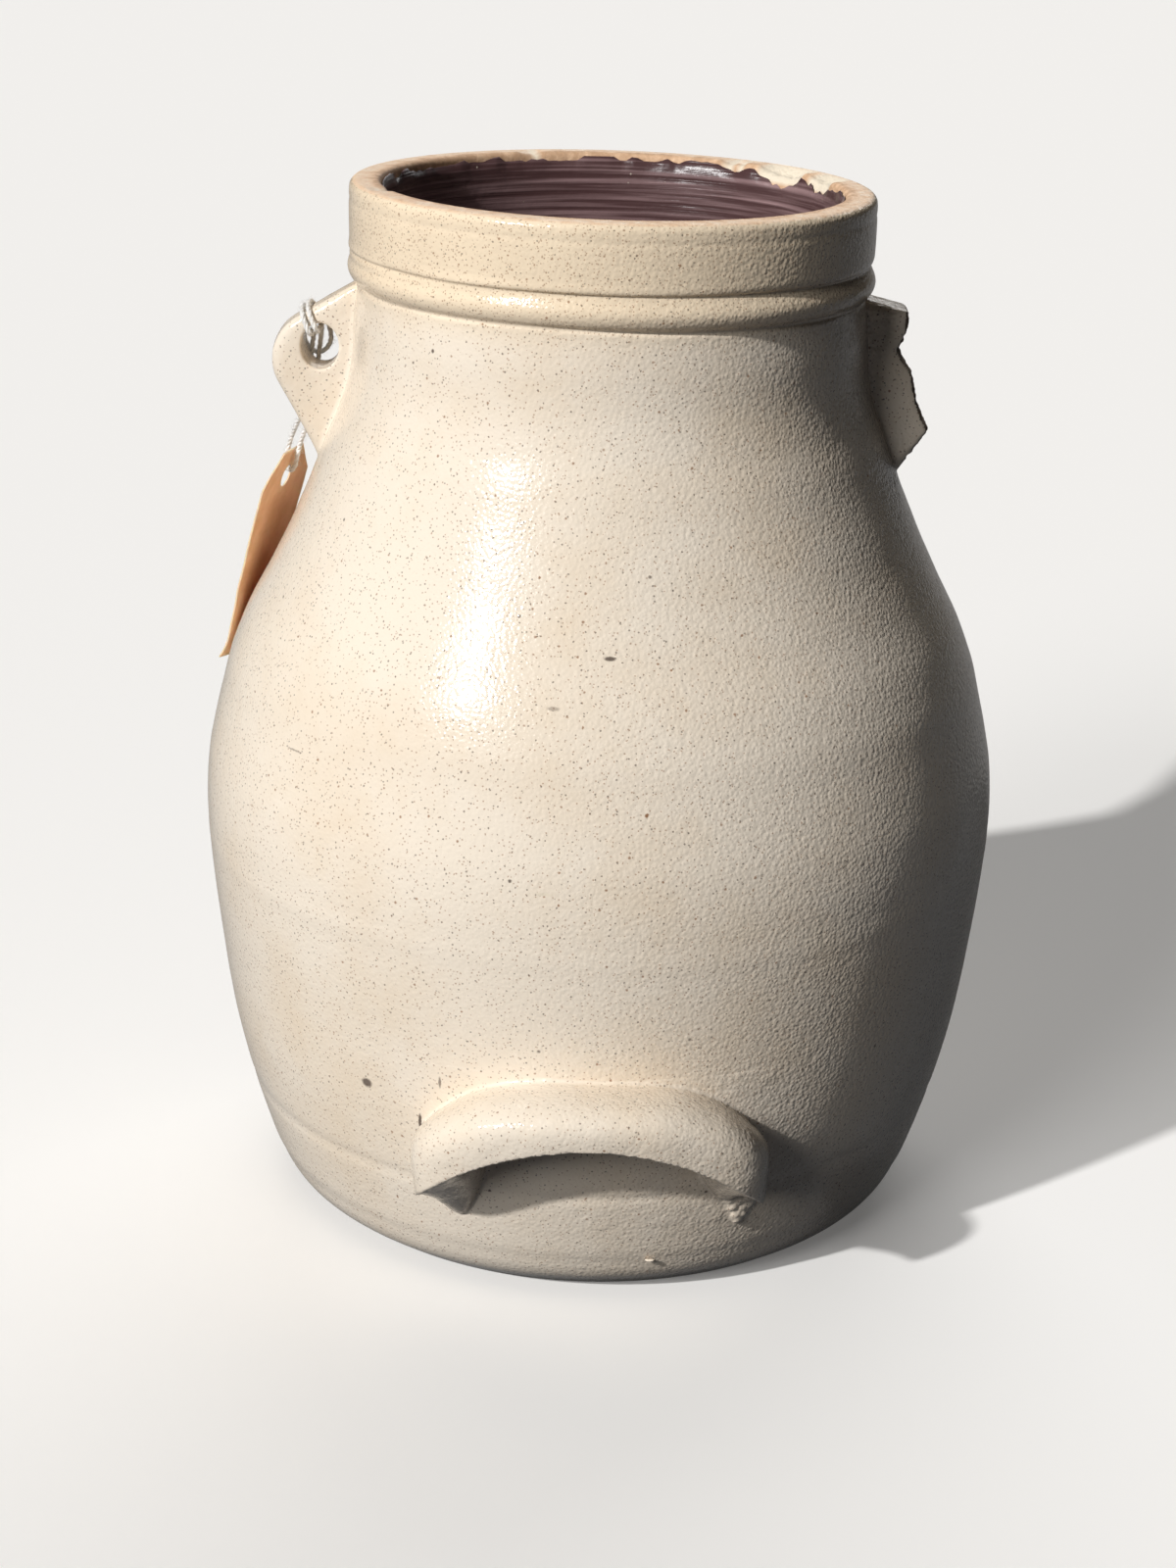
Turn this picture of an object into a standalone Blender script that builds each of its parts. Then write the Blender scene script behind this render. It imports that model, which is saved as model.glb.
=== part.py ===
"""Stoneware batter pail: a thrown pot with bail ears, a tilt handle, a spout and a tie-on tag.

Lengths are in metres and angles in degrees. The pail stands on z = 0, round the z axis. The tilt
handle faces -y and the spout +y. The whole ear, with the tag on it, is at -x, the broken one at +x.
"""

import math

import bmesh
import bpy
from mathutils import Vector

# Clearance between pieces that touch
GAP = 0.0003

# Outer wall, station by station from the foot up: rise above the station below, and radius
FOOT_RADIUS = 0.0755
HEEL_RISE = 0.006
HEEL_RADIUS = 0.0831
FLARE_RISE = 0.014
FLARE_RADIUS = 0.0894
LOWER_WALL_RISE = 0.042
LOWER_WALL_RADIUS = 0.099
BELLY_RISE = 0.046
BELLY_RADIUS = 0.103
UPPER_WALL_RISE = 0.038
UPPER_WALL_RADIUS = 0.0961
SHOULDER_RISE = 0.032
SHOULDER_RADIUS = 0.0805
NECK_SLOPE_RISE = 0.025
NECK_SLOPE_RADIUS = 0.0707
NECK_FOOT_RISE = 0.017
NECK_FOOT_RADIUS = 0.0647
NECK_RISE = 0.020
NECK_RADIUS = 0.0638

# Bead, collar and rim
BEAD_HEIGHT = 0.008
BEAD_BULGE = 0.0020
COLLAR_HEIGHT = 0.017
COLLAR_RADIUS = 0.0653
COLLAR_ROUND = 0.003
COLLAR_UNDERCUT = 60.0
LIP_ROUND = 0.002
RIM_WIDTH = 0.008
RIM_EDGE = 0.0015

# Inside of the pot and its coat of slip
WALL = 0.0072
FLOOR = 0.010
FLOOR_CORNER = 0.014
SLIP = 0.0007
SLIP_DROP = 0.003

# Bail ears: a flat fin that rounds a disc and runs out above and below into the wall
EAR_STAND_OFF = 0.00775
EAR_DROP = 0.0205
EAR_RADIUS = 0.0125
EAR_FOOT_DROP = 0.0255
EAR_THICKNESS = 0.012
EAR_ROUND = 0.003
EAR_HOLE_WIDTH = 0.0095
EAR_HOLE_HEIGHT = 0.0115
EAR_HOLE_RISE = 0.0038
# Fracture of the broken ear from its top to its tip, outward and upward from the disc's centre
BREAK = (
    (0.0018, 0.0172),
    (0.0015, 0.0118),
    (-0.0005, 0.0075),
    (0.0004, 0.0050),
    (0.0028, 0.0018),
    (0.0053, -0.0069),
    (0.0084, -0.0131),
)

# Tilt handle: a crescent lug with a finger hollow under it
HANDLE_WIDTH = 0.0875
HANDLE_TOP = 0.0673
HANDLE_THICKNESS = 0.0085
HANDLE_REACH = 0.022
HANDLE_TOP_FALL = 0.018
HANDLE_LIP_FALL = 0.0258
HANDLE_ARCH = 0.0015
HANDLE_FOOT_DROP = 0.020
HANDLE_FOOT_WIDTH = 0.020
HANDLE_BLUNT = 0.0007
# How square the handle is in plan and how full in section
HANDLE_PLAN_POWER = 5.0
HANDLE_SECTION_POWER = 0.6

# Spout: a thrown tube set on the shoulder
SPOUT_DROP = 0.040
SPOUT_RISE_ANGLE = 45.0
SPOUT_LENGTH = 0.042
SPOUT_BORE = 0.026
SPOUT_WALL = 0.006
SPOUT_ROOT_SPREAD = 0.004
SPOUT_LIP = 0.0015

# String and tag
STRING = 0.0013
HITCH_TURN = 22.0
HITCH_SPREAD = 0.0034
HITCH_TAIL_OUT = 0.0032
HITCH_TAIL_DROP = 0.009
TAG_LENGTH = 0.057
TAG_WIDTH = 0.031
TAG_THICKNESS = 0.0004
TAG_CLIP = 0.009
TAG_HOLE = 0.006
TAG_HOLE_DROP = 0.008
TAG_TURN = 16.0
TAG_FALL = 0.036
TAG_STAND_OFF = 0.009
TAG_SIDE_GAP = 0.0011

# Fineness of the meshes
TURN_STEPS = 48
SPOUT_STEPS = 32
WALL_STEP = 0.012
HOLLOW_STEP = 0.025
ARC_STEPS = 12
ROUND_STEPS = 5
EDGE_STEPS = 7
SEAT_STEPS = 8
HANDLE_STEPS = 25
HANDLE_ROUND_STEPS = 9
STRING_STEP = 0.0016
SHARP_ANGLE = 40.0

# sRGB colours and roughness of the materials
SALT_GLAZE = ((0.80, 0.72, 0.60), 0.35)
BROWN_SLIP = ((0.20, 0.11, 0.08), 0.25)
RAW_CLAY = ((0.55, 0.45, 0.36), 0.70)
COTTON = ((0.88, 0.88, 0.86), 0.95)
MANILA = ((0.78, 0.60, 0.38), 0.85)


def wall_stations():
    """Height and radius of each station of the outer wall, from the foot up to the bead."""
    spans = (
        (0.0, FOOT_RADIUS),
        (HEEL_RISE, HEEL_RADIUS),
        (FLARE_RISE, FLARE_RADIUS),
        (LOWER_WALL_RISE, LOWER_WALL_RADIUS),
        (BELLY_RISE, BELLY_RADIUS),
        (UPPER_WALL_RISE, UPPER_WALL_RADIUS),
        (SHOULDER_RISE, SHOULDER_RADIUS),
        (NECK_SLOPE_RISE, NECK_SLOPE_RADIUS),
        (NECK_FOOT_RISE, NECK_FOOT_RADIUS),
        (NECK_RISE, NECK_RADIUS),
    )
    height = 0.0
    stations = []
    for rise, radius in spans:
        height += rise
        stations.append((height, radius))
    return stations


def wall_slopes(stations):
    """Slope of the wall at each station, chosen so that the curve never overshoots a station."""
    rises = [b[0] - a[0] for a, b in zip(stations, stations[1:])]
    slopes = [(b[1] - a[1]) / (b[0] - a[0]) for a, b in zip(stations, stations[1:])]
    inner = []
    for low, high, below, above in zip(slopes, slopes[1:], rises, rises[1:]):
        if low * high <= 0.0:
            inner.append(0.0)
            continue
        first = 2.0 * above + below
        second = above + 2.0 * below
        inner.append((first + second) / (first / low + second / high))
    return [slopes[0]] + inner + [slopes[-1]]


STATIONS = wall_stations()
SLOPES = wall_slopes(STATIONS)
BEAD_BASE = STATIONS[-1][0]
COLLAR_BASE = BEAD_BASE + BEAD_HEIGHT
PAIL_HEIGHT = COLLAR_BASE + COLLAR_HEIGHT
MOUTH_RADIUS = COLLAR_RADIUS - RIM_WIDTH
EAR_HEIGHT = BEAD_BASE - EAR_DROP
EAR_HOLE_CENTRE = EAR_HEIGHT + EAR_HOLE_RISE
STRING_CLEARANCE = GAP + STRING / 2.0
STRING_PITCH = STRING + 2.0 * GAP


def wall_radius(height):
    """Outer radius of the wall at a height between the foot and the bead."""
    index = 0
    while index < len(STATIONS) - 2 and height > STATIONS[index + 1][0]:
        index += 1
    (low, start), (high, end) = STATIONS[index], STATIONS[index + 1]
    rise = high - low
    t = min(max((height - low) / rise, 0.0), 1.0)
    return (
        (1.0 + 2.0 * t) * (1.0 - t) ** 2 * start
        + t * (1.0 - t) ** 2 * rise * SLOPES[index]
        + t * t * (3.0 - 2.0 * t) * end
        + t * t * (t - 1.0) * rise * SLOPES[index + 1]
    )


EAR_OUT = wall_radius(EAR_HEIGHT) + EAR_STAND_OFF


def wall_heights(step):
    """Heights of the rings that make a wall, foot first, no further apart than a step."""
    heights = [0.0]
    for (low, _), (high, _) in zip(STATIONS, STATIONS[1:]):
        count = math.ceil((high - low) / step)
        heights += spread(low, high, count + 1)[1:]
    return heights


def spread(start, end, count):
    """Evenly spaced values from start to end, both included."""
    return [start + (end - start) * k / (count - 1) for k in range(count)]


def arc(centre, radius, start, end, count):
    """Points on an arc in the plane of a profile, with angles in degrees."""
    angles = [math.radians(a) for a in spread(start, end, count)]
    return [(centre[0] + radius * math.cos(a), centre[1] + radius * math.sin(a)) for a in angles]


def clear_scene():
    """Take every object out of the scene."""
    for obj in list(bpy.data.objects):
        bpy.data.objects.remove(obj, do_unlink=True)


def linear(channel):
    """One sRGB channel as the linear value that a shader takes."""
    if channel <= 0.04045:
        return channel / 12.92
    return ((channel + 0.055) / 1.055) ** 2.4


def finish(obj, look):
    """Give an object a plain material of its own."""
    colour, roughness = look
    material = bpy.data.materials.new(obj.name)
    material.use_nodes = True
    shader = material.node_tree.nodes["Principled BSDF"]
    shader.inputs["Base Color"].default_value = [linear(c) for c in colour] + [1.0]
    shader.inputs["Roughness"].default_value = roughness
    shader.inputs["Metallic"].default_value = 0.0
    obj.data.materials.append(material)


def place(name, data):
    """Put new object data into the scene under a name."""
    obj = bpy.data.objects.new(name, data)
    bpy.context.scene.collection.objects.link(obj)
    return obj


def turned(name, profile, steps, closed=False):
    """Turn a profile of (radius, height) points round the z axis."""
    mesh = bpy.data.meshes.new(name)
    edges = [(k, k + 1) for k in range(len(profile) - 1)]
    if closed:
        edges.append((len(profile) - 1, 0))
    mesh.from_pydata([(radius, 0.0, height) for radius, height in profile], edges, [])
    obj = place(name, mesh)
    screw = obj.modifiers.new("turn", "SCREW")
    screw.steps = steps
    screw.render_steps = steps
    screw.use_merge_vertices = True
    screw.merge_threshold = 0.00001
    return obj


def lofted(name, rings):
    """Skin a row of rings with the same number of points and close both ends."""
    bm = bmesh.new()
    loops = [[bm.verts.new(point) for point in ring] for ring in rings]
    for near, far in zip(loops, loops[1:]):
        for k, vert in enumerate(near):
            bm.faces.new((near[k - 1], vert, far[k], far[k - 1]))
    bm.faces.new(loops[0])
    bm.faces.new(loops[-1])
    bmesh.ops.recalc_face_normals(bm, faces=bm.faces)
    mesh = bpy.data.meshes.new(name)
    bm.to_mesh(mesh)
    bm.free()
    mesh.shade_smooth()
    mesh.set_sharp_from_angle(angle=math.radians(SHARP_ANGLE))
    return place(name, mesh)


def cut(obj, cutter):
    """Cut one object out of another, and keep the cutter as a hidden guide."""
    boolean = obj.modifiers.new("cut", "BOOLEAN")
    boolean.operation = "DIFFERENCE"
    boolean.object = cutter
    cutter.hide_render = True
    cutter.display_type = "WIRE"


def hollow_profile(inset, top):
    """Inside of the pot from the floor's centre up to a height, moved inward by an inset."""
    bend = FLOOR + FLOOR_CORNER
    side = wall_radius(bend) - WALL
    centre = (side - FLOOR_CORNER, bend)
    points = [(0.0, FLOOR + inset)]
    points += arc(centre, FLOOR_CORNER - inset, -90.0, 0.0, ROUND_STEPS)
    for height in wall_heights(HOLLOW_STEP):
        if bend < height < BEAD_BASE:
            points.append((wall_radius(height) - WALL - inset, height))
    points.append((NECK_RADIUS - WALL - inset, BEAD_BASE))
    points.append((MOUTH_RADIUS - inset, top))
    return points


def rim_profile():
    """Rim, collar and bead, from the mouth's edge over the top and down to the neck."""
    mouth = (MOUTH_RADIUS + RIM_EDGE, PAIL_HEIGHT - RIM_EDGE)
    lip = (COLLAR_RADIUS - LIP_ROUND, PAIL_HEIGHT - LIP_ROUND)
    hem = (COLLAR_RADIUS - COLLAR_ROUND, COLLAR_BASE + COLLAR_ROUND)
    points = arc(mouth, RIM_EDGE, 180.0, 90.0, ROUND_STEPS)[1:]
    points += arc(lip, LIP_ROUND, 90.0, 0.0, ROUND_STEPS)
    points += arc(hem, COLLAR_ROUND, 0.0, -COLLAR_UNDERCUT, ROUND_STEPS)
    for share in spread(1.0, 0.0, ROUND_STEPS + 2)[1:-1]:
        bulge = BEAD_BULGE * math.sin(math.pi * share)
        points.append((NECK_RADIUS + bulge, BEAD_BASE + BEAD_HEIGHT * share))
    return points


def wall_profile(outset):
    """Outer wall from the bead down to the middle of the base, moved outward by an outset."""
    points = [(wall_radius(height) + outset, height) for height in reversed(wall_heights(WALL_STEP))]
    return points + [(0.0, 0.0)]


def spout_frame():
    """Point where the spout's axis meets the wall, and the axis's direction."""
    height = BEAD_BASE - SPOUT_DROP
    rise = math.radians(SPOUT_RISE_ANGLE)
    return Vector((0.0, wall_radius(height), height)), Vector((0.0, math.cos(rise), math.sin(rise)))


def along_spout(obj):
    """Stand an object that is turned round z on the spout's axis."""
    root, axis = spout_frame()
    obj.location = root
    obj.rotation_euler = axis.to_track_quat("Z", "X").to_euler()


def spout_bore(name, clearance):
    """Hidden rod along the spout's bore that opens a wall."""
    radius = SPOUT_BORE / 2.0 + clearance
    depth = SPOUT_BORE
    rod = turned(name, [(0.0, depth), (radius, depth), (radius, -depth), (0.0, -depth)], SPOUT_STEPS)
    along_spout(rod)
    return rod


def pail_body():
    """The thrown pot: base, wall, neck, bead and collar, open into the spout."""
    profile = hollow_profile(0.0, PAIL_HEIGHT - RIM_EDGE) + rim_profile() + wall_profile(0.0)
    body = turned("pail_body", profile, TURN_STEPS)
    cut(body, spout_bore("body_bore", 0.0))
    finish(body, SALT_GLAZE)


def slip_lining():
    """The coat of brown slip that covers the inside up to just below the rim."""
    top = PAIL_HEIGHT - SLIP_DROP
    inner = hollow_profile(GAP + SLIP, top)
    outer = hollow_profile(GAP, top)
    lining = turned("slip_lining", inner + outer[::-1], TURN_STEPS)
    cut(lining, spout_bore("lining_bore", GAP))
    finish(lining, BROWN_SLIP)


def spout():
    """A short tube that leaves the shoulder slantwise, thicker at its root and at its lip."""
    bore = SPOUT_BORE / 2.0
    outside = bore + SPOUT_WALL
    flare = 2.0 * SPOUT_ROOT_SPREAD
    profile = [(bore, SPOUT_LENGTH)]
    profile += arc((outside, SPOUT_LENGTH - SPOUT_LIP), SPOUT_LIP, 90.0, -90.0, ROUND_STEPS)
    profile += [
        (outside, SPOUT_LENGTH / 2.0),
        (outside + SPOUT_ROOT_SPREAD / 4.0, flare),
        (outside + SPOUT_ROOT_SPREAD, 0.0),
        (outside + SPOUT_ROOT_SPREAD, -outside),
        (bore, -outside),
    ]
    tube = turned("spout", profile, SPOUT_STEPS, closed=True)
    along_spout(tube)
    wall = turned("spout_seat", [(0.0, BEAD_BASE)] + wall_profile(GAP), TURN_STEPS)
    cut(tube, wall)
    finish(tube, SALT_GLAZE)


def touch_point(point, centre, radius, side):
    """Angle at which a line from a point outside a circle touches it, on one side."""
    away = Vector(point) - Vector(centre)
    half = math.degrees(math.acos(min(1.0, radius / away.length)))
    return math.degrees(math.atan2(away.y, away.x)) + side * half


def ear_edge(inset):
    """Free edge of a whole ear as (out, height) points, from its top root to its foot."""
    centre = (EAR_OUT, EAR_HEIGHT)
    radius = EAR_RADIUS - inset
    top, foot = ear_roots(inset)
    start = touch_point(top, centre, radius, -1.0)
    end = touch_point(foot, centre, radius, 1.0)
    if end > start:
        end -= 360.0
    return [top] + arc(centre, radius, start, end, ARC_STEPS) + [foot]


def ear_roots(inset):
    """Where the free edge of an ear leaves the wall, above and below."""
    top = BEAD_BASE - inset
    foot = EAR_HEIGHT - EAR_FOOT_DROP + inset
    return (wall_radius(top) + GAP, top), (wall_radius(foot) + GAP, foot)


def broken_edge(inset):
    """Free edge of the broken ear, whose fracture takes the place of the disc's outer part."""
    top, foot = ear_roots(inset)
    fracture = [(EAR_OUT + out - inset / 4.0, EAR_HEIGHT + up) for out, up in BREAK]
    return [top] + fracture + [foot]


def ear(name, side, edge):
    """A fin with rounded edges across the x axis, seated along the wall."""
    half = EAR_THICKNESS / 2.0
    rings = []
    for turn in spread(-90.0, 90.0, EDGE_STEPS):
        bend = math.radians(turn)
        offset = half - EAR_ROUND + EAR_ROUND * abs(math.sin(bend))
        across = math.copysign(offset, turn) if turn else 0.0
        inset = EAR_ROUND * (1.0 - math.cos(bend))
        free = edge(inset)
        (_, top), (_, foot) = ear_roots(inset)
        seat = []
        for height in spread(foot, top, SEAT_STEPS):
            reach = wall_radius(height) + GAP
            seat.append((math.sqrt(reach * reach - across * across), height))
        outline = free[1:-1] + seat
        rings.append([Vector((side * out, across, height)) for out, height in outline])
    return lofted(name, rings)


def left_ear():
    """The whole ear, with the bail's hole through it."""
    fin = ear("left_ear", -1.0, ear_edge)
    count = 2 * ARC_STEPS
    wide, tall = EAR_HOLE_WIDTH / 2.0, EAR_HOLE_HEIGHT / 2.0
    rings = []
    for across in (-EAR_THICKNESS, EAR_THICKNESS):
        ring = []
        for k in range(count):
            turn = 2.0 * math.pi * k / count
            out = EAR_OUT + wide * math.cos(turn)
            ring.append(Vector((-out, across, EAR_HOLE_CENTRE + tall * math.sin(turn))))
        rings.append(ring)
    cut(fin, lofted("ear_hole", rings))
    finish(fin, SALT_GLAZE)


def right_ear():
    """The ear that lost its outer part and the hole with it."""
    finish(ear("right_ear", 1.0, broken_edge), RAW_CLAY)


def handle_section(t):
    """Section of the tilt handle at a share t of its span, as (stand-off, height) points."""
    reach = HANDLE_REACH * math.sqrt(1.0 - abs(t) ** HANDLE_PLAN_POWER)
    top = HANDLE_TOP - HANDLE_TOP_FALL * abs(t) ** 3
    lip = HANDLE_TOP - HANDLE_THICKNESS - HANDLE_LIP_FALL * t * t
    from_end = (1.0 - abs(t)) * HANDLE_WIDTH / 2.0
    foot = max(0.0, 1.0 - from_end / HANDLE_FOOT_WIDTH)
    root = lip - HANDLE_FOOT_DROP * math.sin(math.pi * foot)
    points = []
    for turn in spread(0.0, 90.0, HANDLE_ROUND_STEPS):
        bend = math.radians(turn)
        out = reach * math.sin(bend) ** HANDLE_SECTION_POWER
        points.append((out, lip + (top - lip) * math.cos(bend) ** HANDLE_SECTION_POWER))
    for share in spread(1.0, 0.0, ROUND_STEPS)[1:-1]:
        under = root + (lip - root) * share
        points.append((reach * share, under + HANDLE_ARCH * math.sin(math.pi * share)))
    points += [(0.0, height) for height in spread(root, top, ROUND_STEPS)[:-1]]
    return points


def tilt_handle():
    """The crescent lug low on the front, joined to the wall along its whole upper edge."""
    half = HANDLE_WIDTH / 2.0
    end = 1.0 - HANDLE_BLUNT / half
    rings = []
    for t in spread(-end, end, HANDLE_STEPS):
        angle = t * half / wall_radius(HANDLE_TOP)
        ring = []
        for out, height in handle_section(t):
            radius = wall_radius(height) + GAP + out
            ring.append(Vector((radius * math.sin(angle), -radius * math.cos(angle), height)))
        rings.append(ring)
    finish(lofted("tilt_handle", rings), SALT_GLAZE)


def smooth_route(points, step):
    """Points about a step apart on a smooth curve through the points of a route."""
    ends = [2.0 * points[0] - points[1]] + points + [2.0 * points[-1] - points[-2]]
    route = [points[0]]
    for before, start, end, after in zip(ends, ends[1:], ends[2:], ends[3:]):
        count = max(1, round((end - start).length / step))
        for k in range(1, count + 1):
            t = k / count
            pull = (end - before) * (t - 2.0 * t * t + t ** 3) + (after - start) * (t ** 3 - t * t)
            rest = start * (1.0 - 3.0 * t * t + 2.0 * t ** 3) + end * (3.0 * t * t - 2.0 * t ** 3)
            route.append(rest + 0.5 * pull)
    return route


def cord(name, points):
    """A round string along a route."""
    curve = bpy.data.curves.new(name, "CURVE")
    curve.dimensions = "3D"
    curve.bevel_depth = STRING / 2.0
    curve.bevel_resolution = 2
    curve.use_fill_caps = True
    route = smooth_route(points, STRING_STEP)
    spline = curve.splines.new("POLY")
    spline.points.add(len(route) - 1)
    for spot, point in zip(spline.points, route):
        spot.co = (*point, 1.0)
    return place(name, curve)


def on_ear(out, up, back):
    """World position from an offset to the centre of the whole ear's hole."""
    return Vector((-(EAR_OUT + out), back, EAR_HOLE_CENTRE + up))


def rim_distance(aim, start):
    """Distance from a point by the hole to the ear's free edge, along a direction."""
    side = Vector((aim.y, -aim.x))
    hole = Vector((EAR_OUT, EAR_HOLE_CENTRE))
    edge = [Vector(point) - hole - start for point in ear_edge(0.0)]
    for a, b in zip(edge, edge[1:]):
        left, right = a @ side, b @ side
        if left * right <= 0.0 and (a + b) @ aim > 0.0:
            return (a + (b - a) * (left / (left - right))) @ aim
    return EAR_RADIUS


def hitch_tail(side):
    """Where one strand leaves the hitch, as an offset to the hole's centre."""
    return Vector((HITCH_TAIL_OUT + side * STRING_PITCH / 2.0, -HITCH_TAIL_DROP))


def hitch_strand(side):
    """Half of the hitch: up the back, through the hole, up the front, over the rim, down the back."""
    turn = math.radians(HITCH_TURN)
    aim = Vector((math.sin(turn), math.cos(turn)))
    across = Vector((math.cos(turn), -math.sin(turn)))
    hole = 1.0 / math.hypot(2.0 * aim.x / EAR_HOLE_WIDTH, 2.0 * aim.y / EAR_HOLE_HEIGHT)
    beside = side * STRING_PITCH / 2.0
    wide = side * HITCH_SPREAD
    rim = rim_distance(aim, across * beside)
    half = EAR_THICKNESS / 2.0
    face = half + STRING_CLEARANCE
    corner = STRING_CLEARANCE * math.sqrt(0.5)
    flat = half - EAR_ROUND
    bend = (EAR_ROUND + STRING_CLEARANCE) * math.sqrt(0.5)
    inside = hole - STRING_CLEARANCE - 2.0 * GAP
    tail = hitch_tail(side)
    cross = hitch_tail(0.0)

    def spot(distance, shift, back):
        offset = aim * distance + across * shift
        return on_ear(offset.x, offset.y, back)

    return [
        on_ear(tail.x, tail.y, face),
        on_ear(tail.x - STRING / 2.0, tail.y + 4.0 * STRING, face),
        on_ear(tail.x - STRING, tail.y + 8.0 * STRING, face),
        spot(inside, beside, half - STRING),
        spot(inside, beside, STRING - half),
        spot(hole - corner, beside, -face),
        spot(rim - EAR_ROUND, beside, -face),
        spot(rim - EAR_ROUND + bend, beside, -flat - bend),
        spot(rim + STRING_CLEARANCE, beside, -flat),
        spot(rim + STRING_CLEARANCE, beside, flat),
        spot(rim - EAR_ROUND + bend, beside, flat + bend),
        spot(rim - EAR_ROUND, (beside + wide) / 2.0, face),
        on_ear(cross.x - STRING + wide, tail.y + 7.0 * STRING, face + STRING / 2.0),
        on_ear(cross.x - STRING + wide / 2.0, tail.y + 4.5 * STRING, face + STRING_PITCH),
        on_ear(cross.x - STRING, tail.y + 4.0 * STRING, face + STRING_PITCH + GAP),
    ]


def string_hitch():
    """The doubled string hitched round the rim of the ear, one unbroken run."""
    outer = hitch_strand(1.0)
    inner = hitch_strand(-1.0)
    finish(cord("string_hitch", outer + inner[-2::-1]), COTTON)


def swing_axis():
    """Point on the axis, along y, about which the tag and its string swing."""
    tail = hitch_tail(1.0)
    return on_ear(tail.x + STRING / 2.0, tail.y - GAP / 2.0, 0.0)


def tag_frame():
    """Centre of the tag's hole and the tag's directions: outward, down its length, across it."""
    turn = math.radians(TAG_TURN)
    height = EAR_HEIGHT - TAG_FALL
    back = EAR_THICKNESS / 2.0 + TAG_SIDE_GAP + TAG_WIDTH / 2.0 * math.cos(turn)
    reach = wall_radius(height) + TAG_STAND_OFF
    hole = Vector((-math.sqrt(reach * reach - back * back), back, height))
    lean = tag_lean(reach, height)
    facing = Vector((-math.cos(turn), math.sin(turn), 0.0))
    down = Vector((0.0, 0.0, -1.0))
    outward = facing * math.cos(lean) - down * math.sin(lean)
    along = down * math.cos(lean) + facing * math.sin(lean)
    across = Vector((math.sin(turn), math.cos(turn), 0.0))
    return hole, outward, along, across


def tag_lean(reach, height):
    """Least lean at which the tag, hung at a reach and a height, clears the wall below it."""
    clearance = GAP + TAG_THICKNESS
    falls = spread(0.0, TAG_LENGTH - TAG_HOLE_DROP, TURN_STEPS)[1:]
    return max(math.atan2(wall_radius(height - fall) + clearance - reach, fall) for fall in falls)


def string_fall():
    """The doubled string that hangs from the hitch and passes through the tag's hole."""
    hole, outward, along, _ = tag_frame()
    face = EAR_THICKNESS / 2.0 + STRING_CLEARANCE
    off = outward * (TAG_THICKNESS / 2.0 + STRING_PITCH / 2.0 + GAP)
    bearing = hole - along * (TAG_HOLE / 2.0 - STRING_CLEARANCE)
    top = hole - along * (TAG_HOLE_DROP + STRING)
    legs = []
    for side in (1.0, -1.0):
        tail = hitch_tail(side)
        start = on_ear(tail.x, tail.y - GAP, face)
        drop = start + Vector((0.0, STRING, -3.0 * STRING))
        legs.append([
            start,
            drop,
            top + side * off,
            (top + bearing) / 2.0 + side * off,
            bearing + side * off - along * STRING,
            bearing + side * off / 2.0,
        ])
    route = legs[0] + [bearing] + legs[1][::-1]
    axis = swing_axis()
    finish(hang(cord("string_fall", [point - axis for point in route])), COTTON)


def paper_tag():
    """A card tag with two clipped corners and a punched hole, leaning on the shoulder."""
    start = -TAG_HOLE_DROP
    end = TAG_LENGTH - TAG_HOLE_DROP
    half = TAG_WIDTH / 2.0
    corners = (
        (start, half - TAG_CLIP),
        (start + TAG_CLIP, half),
        (end, half),
        (end, -half),
        (start + TAG_CLIP, -half),
        (start, TAG_CLIP - half),
    )
    card = hang(sheet("paper_tag", corners, TAG_THICKNESS))
    count = 2 * ARC_STEPS
    ring = arc((0.0, 0.0), TAG_HOLE / 2.0, 0.0, 360.0 * (count - 1) / count, count)
    punch = hang(sheet("tag_punch", ring, 4.0 * TAG_THICKNESS))
    cut(card, punch)
    finish(card, MANILA)


def sheet(name, outline, thickness):
    """A flat sheet in the tag's plane from an outline of (along, across) points."""
    hole, outward, along, across = tag_frame()
    axis = swing_axis()
    rings = []
    for side in (-0.5, 0.5):
        base = hole - axis + outward * (side * thickness)
        rings.append([base + along * run + across * shift for run, shift in outline])
    return lofted(name, rings)


def hang(obj):
    """Hang an object on the tag's pivot, an empty on the swing axis."""
    pivot = bpy.data.objects.get("tag_pivot")
    if pivot is None:
        pivot = place("tag_pivot", None)
        pivot.location = swing_axis()
    obj.parent = pivot
    return obj


def main():
    """Build the pail."""
    clear_scene()
    pail_body()
    slip_lining()
    left_ear()
    right_ear()
    tilt_handle()
    spout()
    string_hitch()
    string_fall()
    paper_tag()


main()
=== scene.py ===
"""Dresses the frame of a stoneware batter pail: salt-glazed clay, brown slip, string and card.

Lengths are in metres. The pail stands on z = 0, round the z axis. The tilt handle faces -y and the
spout +y. The whole ear, with the tag on it, is at -x, the broken one at +x.
"""

import math
from bisect import bisect_left

import bmesh
import bpy
from bpy.props import FloatProperty, FloatVectorProperty, IntProperty, PointerProperty
from mathutils import Matrix, Vector, noise


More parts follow.
